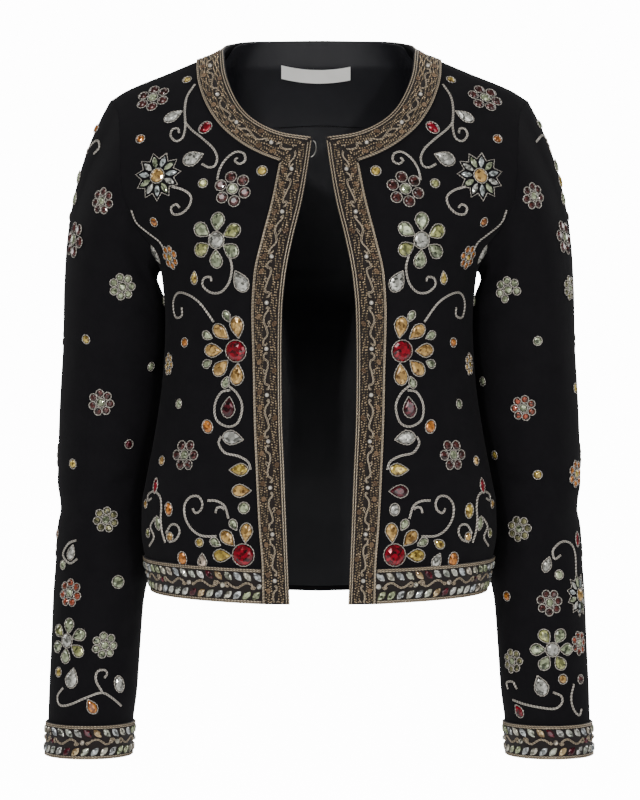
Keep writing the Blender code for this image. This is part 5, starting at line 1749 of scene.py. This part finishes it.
@dataclass
class Jewels:
    """Sews flowers, single stones and vines on the cloth."""

    ground: Ground
    kit: Kit
    ring: float = 0.00042
    height: float = 0.46
    petals_at: float = 0.66   # a petal's middle, as a share of the flower's reach
    points_at: Pair = (1.12, 0.80)   # outer and inner corners of a daisy's outline
    vine_gap: float = 0.00054
    vine_cord: float = 0.00046

    def stone(self, point: Net, axes: Net, long: float, wide: float, cut: Cut,
              colour: Colour, ringed: bool = True) -> None:
        """One stone, with a cord ring or without.

        Args:
            point: its foot on the cloth.
            axes: its long axis, the one across, and up.
            long: half its length, in metres.
            wide: half its width.
            cut: its outline.
            colour: its colour.
            ringed: whether a cord goes round it.
        """
        slot, tint = colour.value
        high = max(wide * self.height * 1.6, 0.0014)
        foot = point + axes[2] * 0.0001
        self.kit.work(slot).place(self.kit.stone, foot, axes, (long, wide, high), tint, cut)
        if not ringed:
            return
        turn = 2 * math.pi * np.arange(14) / 14
        flat = outline(np.stack((np.cos(turn), np.sin(turn), np.zeros(14)), axis=-1), cut)
        edge = flat * (long, wide, 0.0)
        edge += unit(flat * (1 / long, 1 / wide, 0.0) + 1e-9) * self.ring * 2.2
        path = foot + edge @ axes + axes[2] * self.ring * 0.9
        self.kit.work(Slot.CORD).tube(path, np.tile(axes[2], (14, 1)), self.ring, 4, True)

    def single(self, place: NetPair | None, row: Sequence, sign: float) -> None:
        """One stone from a table, turned as the front view shows it."""
        if place is None:
            return
        _, _, cut, long, wide, turn, colour = row
        angle = math.radians(turn)
        axes = frame_at(place[1], np.array((sign * math.cos(angle), -0.05, math.sin(angle))))
        self.stone(place[0], axes, long * MM, wide * MM, cut, colour)

    def flower(self, place: NetPair | None, radius: float, kind: Flower, turn: float) -> None:
        """One flower.

        Args:
            place: point and normal of its middle.
            radius: how far it reaches, in millimetres.
            kind: what it is made of.
            turn: how far it is turned, in degrees.
        """
        if place is None:
            return
        centre, petals, count = kind.value
        axes = frame_at(place[1], np.array((0.05, -0.02, 1.0)))
        reach = radius * MM
        middle = {Flower.DAISY: 0.30, Flower.PEAR: 0.27}.get(kind, 0.24)
        self.stone(place[0] + axes[2] * 0.0004, axes, reach * middle, reach * middle, Cut.ROUND, centre)
        for i in range(count):
            angle = math.radians(turn) + 2 * math.pi * i / count
            out = axes[0] * math.cos(angle) + axes[1] * math.sin(angle)
            point, normal = self.ground.near(place[0] + out * reach * self.petals_at)
            colour = petals[(i * 2 + int(radius)) % len(petals)]
            if kind is Flower.PEAR:
                self.stone(point, frame_at(normal, -out), reach * 0.305, reach * 0.235, Cut.PEAR, colour)
            elif kind is Flower.DAISY:
                self.stone(point, frame_at(normal, out), reach * 0.27, reach * 0.125, Cut.MARQUISE,
                           colour, False)
            else:
                size = reach * (0.235 if count == 6 else 0.205)
                self.stone(point, frame_at(normal, out), size, size, Cut.ROUND, colour)
        if kind is Flower.DAISY:
            self.zigzag(place[0], axes, reach, count, math.radians(turn))

    def zigzag(self, centre: Net, axes: Net, reach: float, count: int, turn: float) -> None:
        """The pointed cord outline of a daisy."""
        path, normals = [], []
        for i in range(2 * count):
            angle = turn + math.pi * i / count
            far = reach * self.points_at[i % 2]
            out = axes[0] * math.cos(angle) + axes[1] * math.sin(angle)
            point, normal = self.ground.near(centre + out * far)
            path.append(point + normal * self.vine_cord * 0.7)
            normals.append(normal)
        self.kit.work(Slot.CORD).tube(np.array(path), np.array(normals), self.vine_cord, 5, True)

    def vine(self, points: Sequence[Pair], sign: float) -> None:
        """A double twisted cord along a curve of the front view."""
        hits = [self.ground.nearest_seen(x * sign * MM, z * MM) for x, z in curve_through(points, 1.7)]
        hits = [hit for hit in hits if hit is not None]
        if len(hits) < 4:
            return
        path = np.array([hit[0] for hit in hits])
        normals = np.array([hit[1] for hit in hits])
        across = unit(np.cross(normals, unit(np.gradient(path, axis=0))))
        for side in (-1.0, 1.0):
            line = path + across * side * self.vine_gap + normals * self.vine_cord * 0.7
            self.kit.work(Slot.CORD).tube(line, normals, self.vine_cord)

    def dress(self, sign: float, flowers: Sequence, stones: Sequence, vines: Sequence) -> None:
        """Sews on all the motifs of one chart; sign is the side of the body."""
        for x, z, radius, kind in flowers:
            self.flower(self.ground.nearest_seen(x * sign * MM, z * MM), radius, kind, z * 3.0)
        for row in stones:
            self.single(self.ground.nearest_seen(row[0] * sign * MM, row[1] * MM), row, sign)
        for points in vines:
            self.vine(points, sign)

    def dress_front(self, sign: float) -> None:
        """All flowers, stones and vines of one front."""
        self.ground.chart_y = FRONT_CHART
        stones = [LEFT_CHANGES.get(number, row) if sign > 0 else row
                  for number, row in enumerate(FRONT_STONES)]
        self.dress(sign, FRONT_FLOWERS, stones, FRONT_VINES)

    def dress_sleeve(self, sign: float) -> None:
        """All flowers, stones and vines of one sleeve."""
        self.ground.chart_y = SLEEVE_CHART
        side = int(sign)
        self.dress(sign, SLEEVE_FLOWERS[side], SLEEVE_STONES[side], SLEEVE_VINES[side])
        for z, turn, radius, kind in SLEEVE_AROUND:
            self.flower(self.ground.from_side(sign, z * MM, turn), radius, kind, z * 3.0)
        for z, turn, colour in SLEEVE_DOTS:
            place = self.ground.from_side(sign, z * MM, turn)
            self.single(place, (0, z, R, 3.0, 3.0, 90, colour), sign)


# Studio


@dataclass
class Lamp:
    """One soft lamp: where it is, what it points at, its sides and its power."""

    name: str
    place: Triple
    aim: Triple
    size: Pair
    power: float

    def build(self) -> None:
        """The lamp, unseen by the camera."""
        data = bpy.data.lights.new(self.name, "AREA")
        data.shape = "RECTANGLE"
        data.size, data.size_y = self.size
        data.energy = self.power
        lamp = bpy.data.objects.new(self.name, data)
        bpy.context.collection.objects.link(lamp)
        lamp.location = self.place
        way = Vector(self.aim) - Vector(self.place)
        lamp.rotation_euler = way.to_track_quat("-Z", "Y").to_euler()
        lamp.visible_camera = False


@dataclass
class Studio:
    """Pale floor, near-white air, soft lamps and a level camera."""

    lens: float = 122.3
    floor_height: float = -1.15
    floor_size: float = 120.0
    glow: float = 14.0
    lamps: tuple[Lamp, ...] = (
        Lamp("key", (-1.3, -2.6, 1.5), (0, 0, -0.3), (1.3, 1.3), 35),
        Lamp("fill", (1.6, -2.4, 0.6), (0, 0, -0.35), (1.4, 1.8), 18),
        Lamp("low", (0.0, -2.8, -1.0), (0, 0, -0.35), (1.8, 0.5), 5),
        Lamp("rim_left", (1.9, 1.2, 0.7), (0.1, 0, -0.3), (0.7, 1.6), 12),
        Lamp("rim_right", (-1.9, 1.2, 0.7), (-0.1, 0, -0.3), (0.7, 1.6), 12),
        Lamp("top", (0.0, 0.3, 2.0), (0, 0, -0.2), (1.2, 0.9), 8),
        Lamp("behind", (0.6, 2.8, 1.0), (0, 0, -0.3), (1.8, 1.4), 26),
        Lamp("spark_left", (-0.7, -2.4, 0.5), (0, 0, -0.3), (0.12, 0.12), 12),
        Lamp("spark_right", (0.8, -2.4, 0.1), (0, 0, -0.3), (0.12, 0.12), 12),
    )

    def build(self) -> None:
        """Everything that isn't the jacket."""
        bpy.ops.object.select_all(action="DESELECT")
        bpy.ops.mesh.primitive_plane_add(size=self.floor_size, location=(0, 0, self.floor_height))
        floor = bpy.context.active_object
        floor.name = floor.data.name = "studio_floor"
        bpy.ops.object.transform_apply(location=True)
        nodes = Nodes("floor_look")
        path = nodes.add("ShaderNodeLightPath")
        glow = nodes.calc("MULTIPLY", path.outputs["Is Camera Ray"], self.glow)
        floor.data.materials.append(nodes.set(
            Base_Color=(0.92, 0.92, 0.92, 1.0), Roughness=0.9, Specular_IOR_Level=0.1,
            Emission_Color=(1.0, 1.0, 1.0, 1.0), Emission_Strength=glow))
        for lamp in self.lamps:
            lamp.build()
        self.air()
        data = bpy.data.cameras.new("camera")
        data.lens = self.lens
        data.sensor_width = 36.0
        data.clip_end = 300.0
        camera = bpy.data.objects.new("camera", data)
        bpy.context.collection.objects.link(camera)
        camera.location = CAMERA_PLACE
        camera.rotation_euler = (math.pi / 2, 0.0, 0.0)
        bpy.context.scene.camera = camera

    def air(self) -> None:
        """Near-white surroundings that the camera sees, and dim ones that light the jacket."""
        world = bpy.data.worlds.new("air")
        world.use_nodes = True
        tree = world.node_tree
        seen = tree.nodes["Background"]
        seen.inputs["Color"].default_value = (1.0, 1.0, 1.0, 1.0)
        seen.inputs["Strength"].default_value = self.glow
        dim = tree.nodes.new("ShaderNodeBackground")
        dim.inputs["Color"].default_value = (0.96, 0.98, 1.0, 1.0)
        dim.inputs["Strength"].default_value = 0.12
        path = tree.nodes.new("ShaderNodeLightPath")
        mix = tree.nodes.new("ShaderNodeMixShader")
        tree.links.new(path.outputs["Is Camera Ray"], mix.inputs["Fac"])
        tree.links.new(dim.outputs["Background"], mix.inputs[1])
        tree.links.new(seen.outputs["Background"], mix.inputs[2])
        tree.links.new(mix.outputs["Shader"], tree.nodes["World Output"].inputs["Surface"])
        bpy.context.scene.world = world


def write_sizes() -> None:
    """Updates the view layer."""
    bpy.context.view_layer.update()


def main() -> None:
    """Builds the cloth, the beadwork and the studio, in that order."""
    logging.basicConfig(level=logging.INFO, format="%(name)s: %(message)s")
    jacket, fitting = Jacket(), Fitting()
    fronts = [FrontPiece(jacket, fitting, 1.0), FrontPiece(jacket, fitting, -1.0)]
    sleeves = [SleevePiece(jacket, fitting, 1.0), SleevePiece(jacket, fitting, -1.0)]
    back = BackPiece(jacket, fitting)
    cloth = [piece.build() for piece in (*fronts, back, *sleeves)]
    back.dress_inside()
    back.hook_bar()
    kit = Kit()
    for front in fronts:
        BeadedTrim(front.ribbons["front_band"], kit, -1.0).build()
        BeadedTrim(front.ribbons["neck_band"], kit, -1.0, first_pearl=0.022).build()
        JewelledTrim(front.ribbons["hem_band"], kit, front.sign).build()
    BeadedTrim(back.ribbons["neck_band_back"], kit, 1.0).build()
    JewelledTrim(back.ribbons["hem_band_back"], kit).build()
    for sleeve in sleeves:
        JewelledTrim(sleeve.cuff, kit, sleeve.sign).build()
    jewels = Jewels(Ground.of(cloth), kit)
    for front in fronts:
        jewels.dress_front(front.sign)
    for sleeve in sleeves:
        jewels.dress_sleeve(sleeve.sign)
    kit.build(fitting)
    Studio().build()
    write_sizes()


if __name__ == "__main__":
    main()
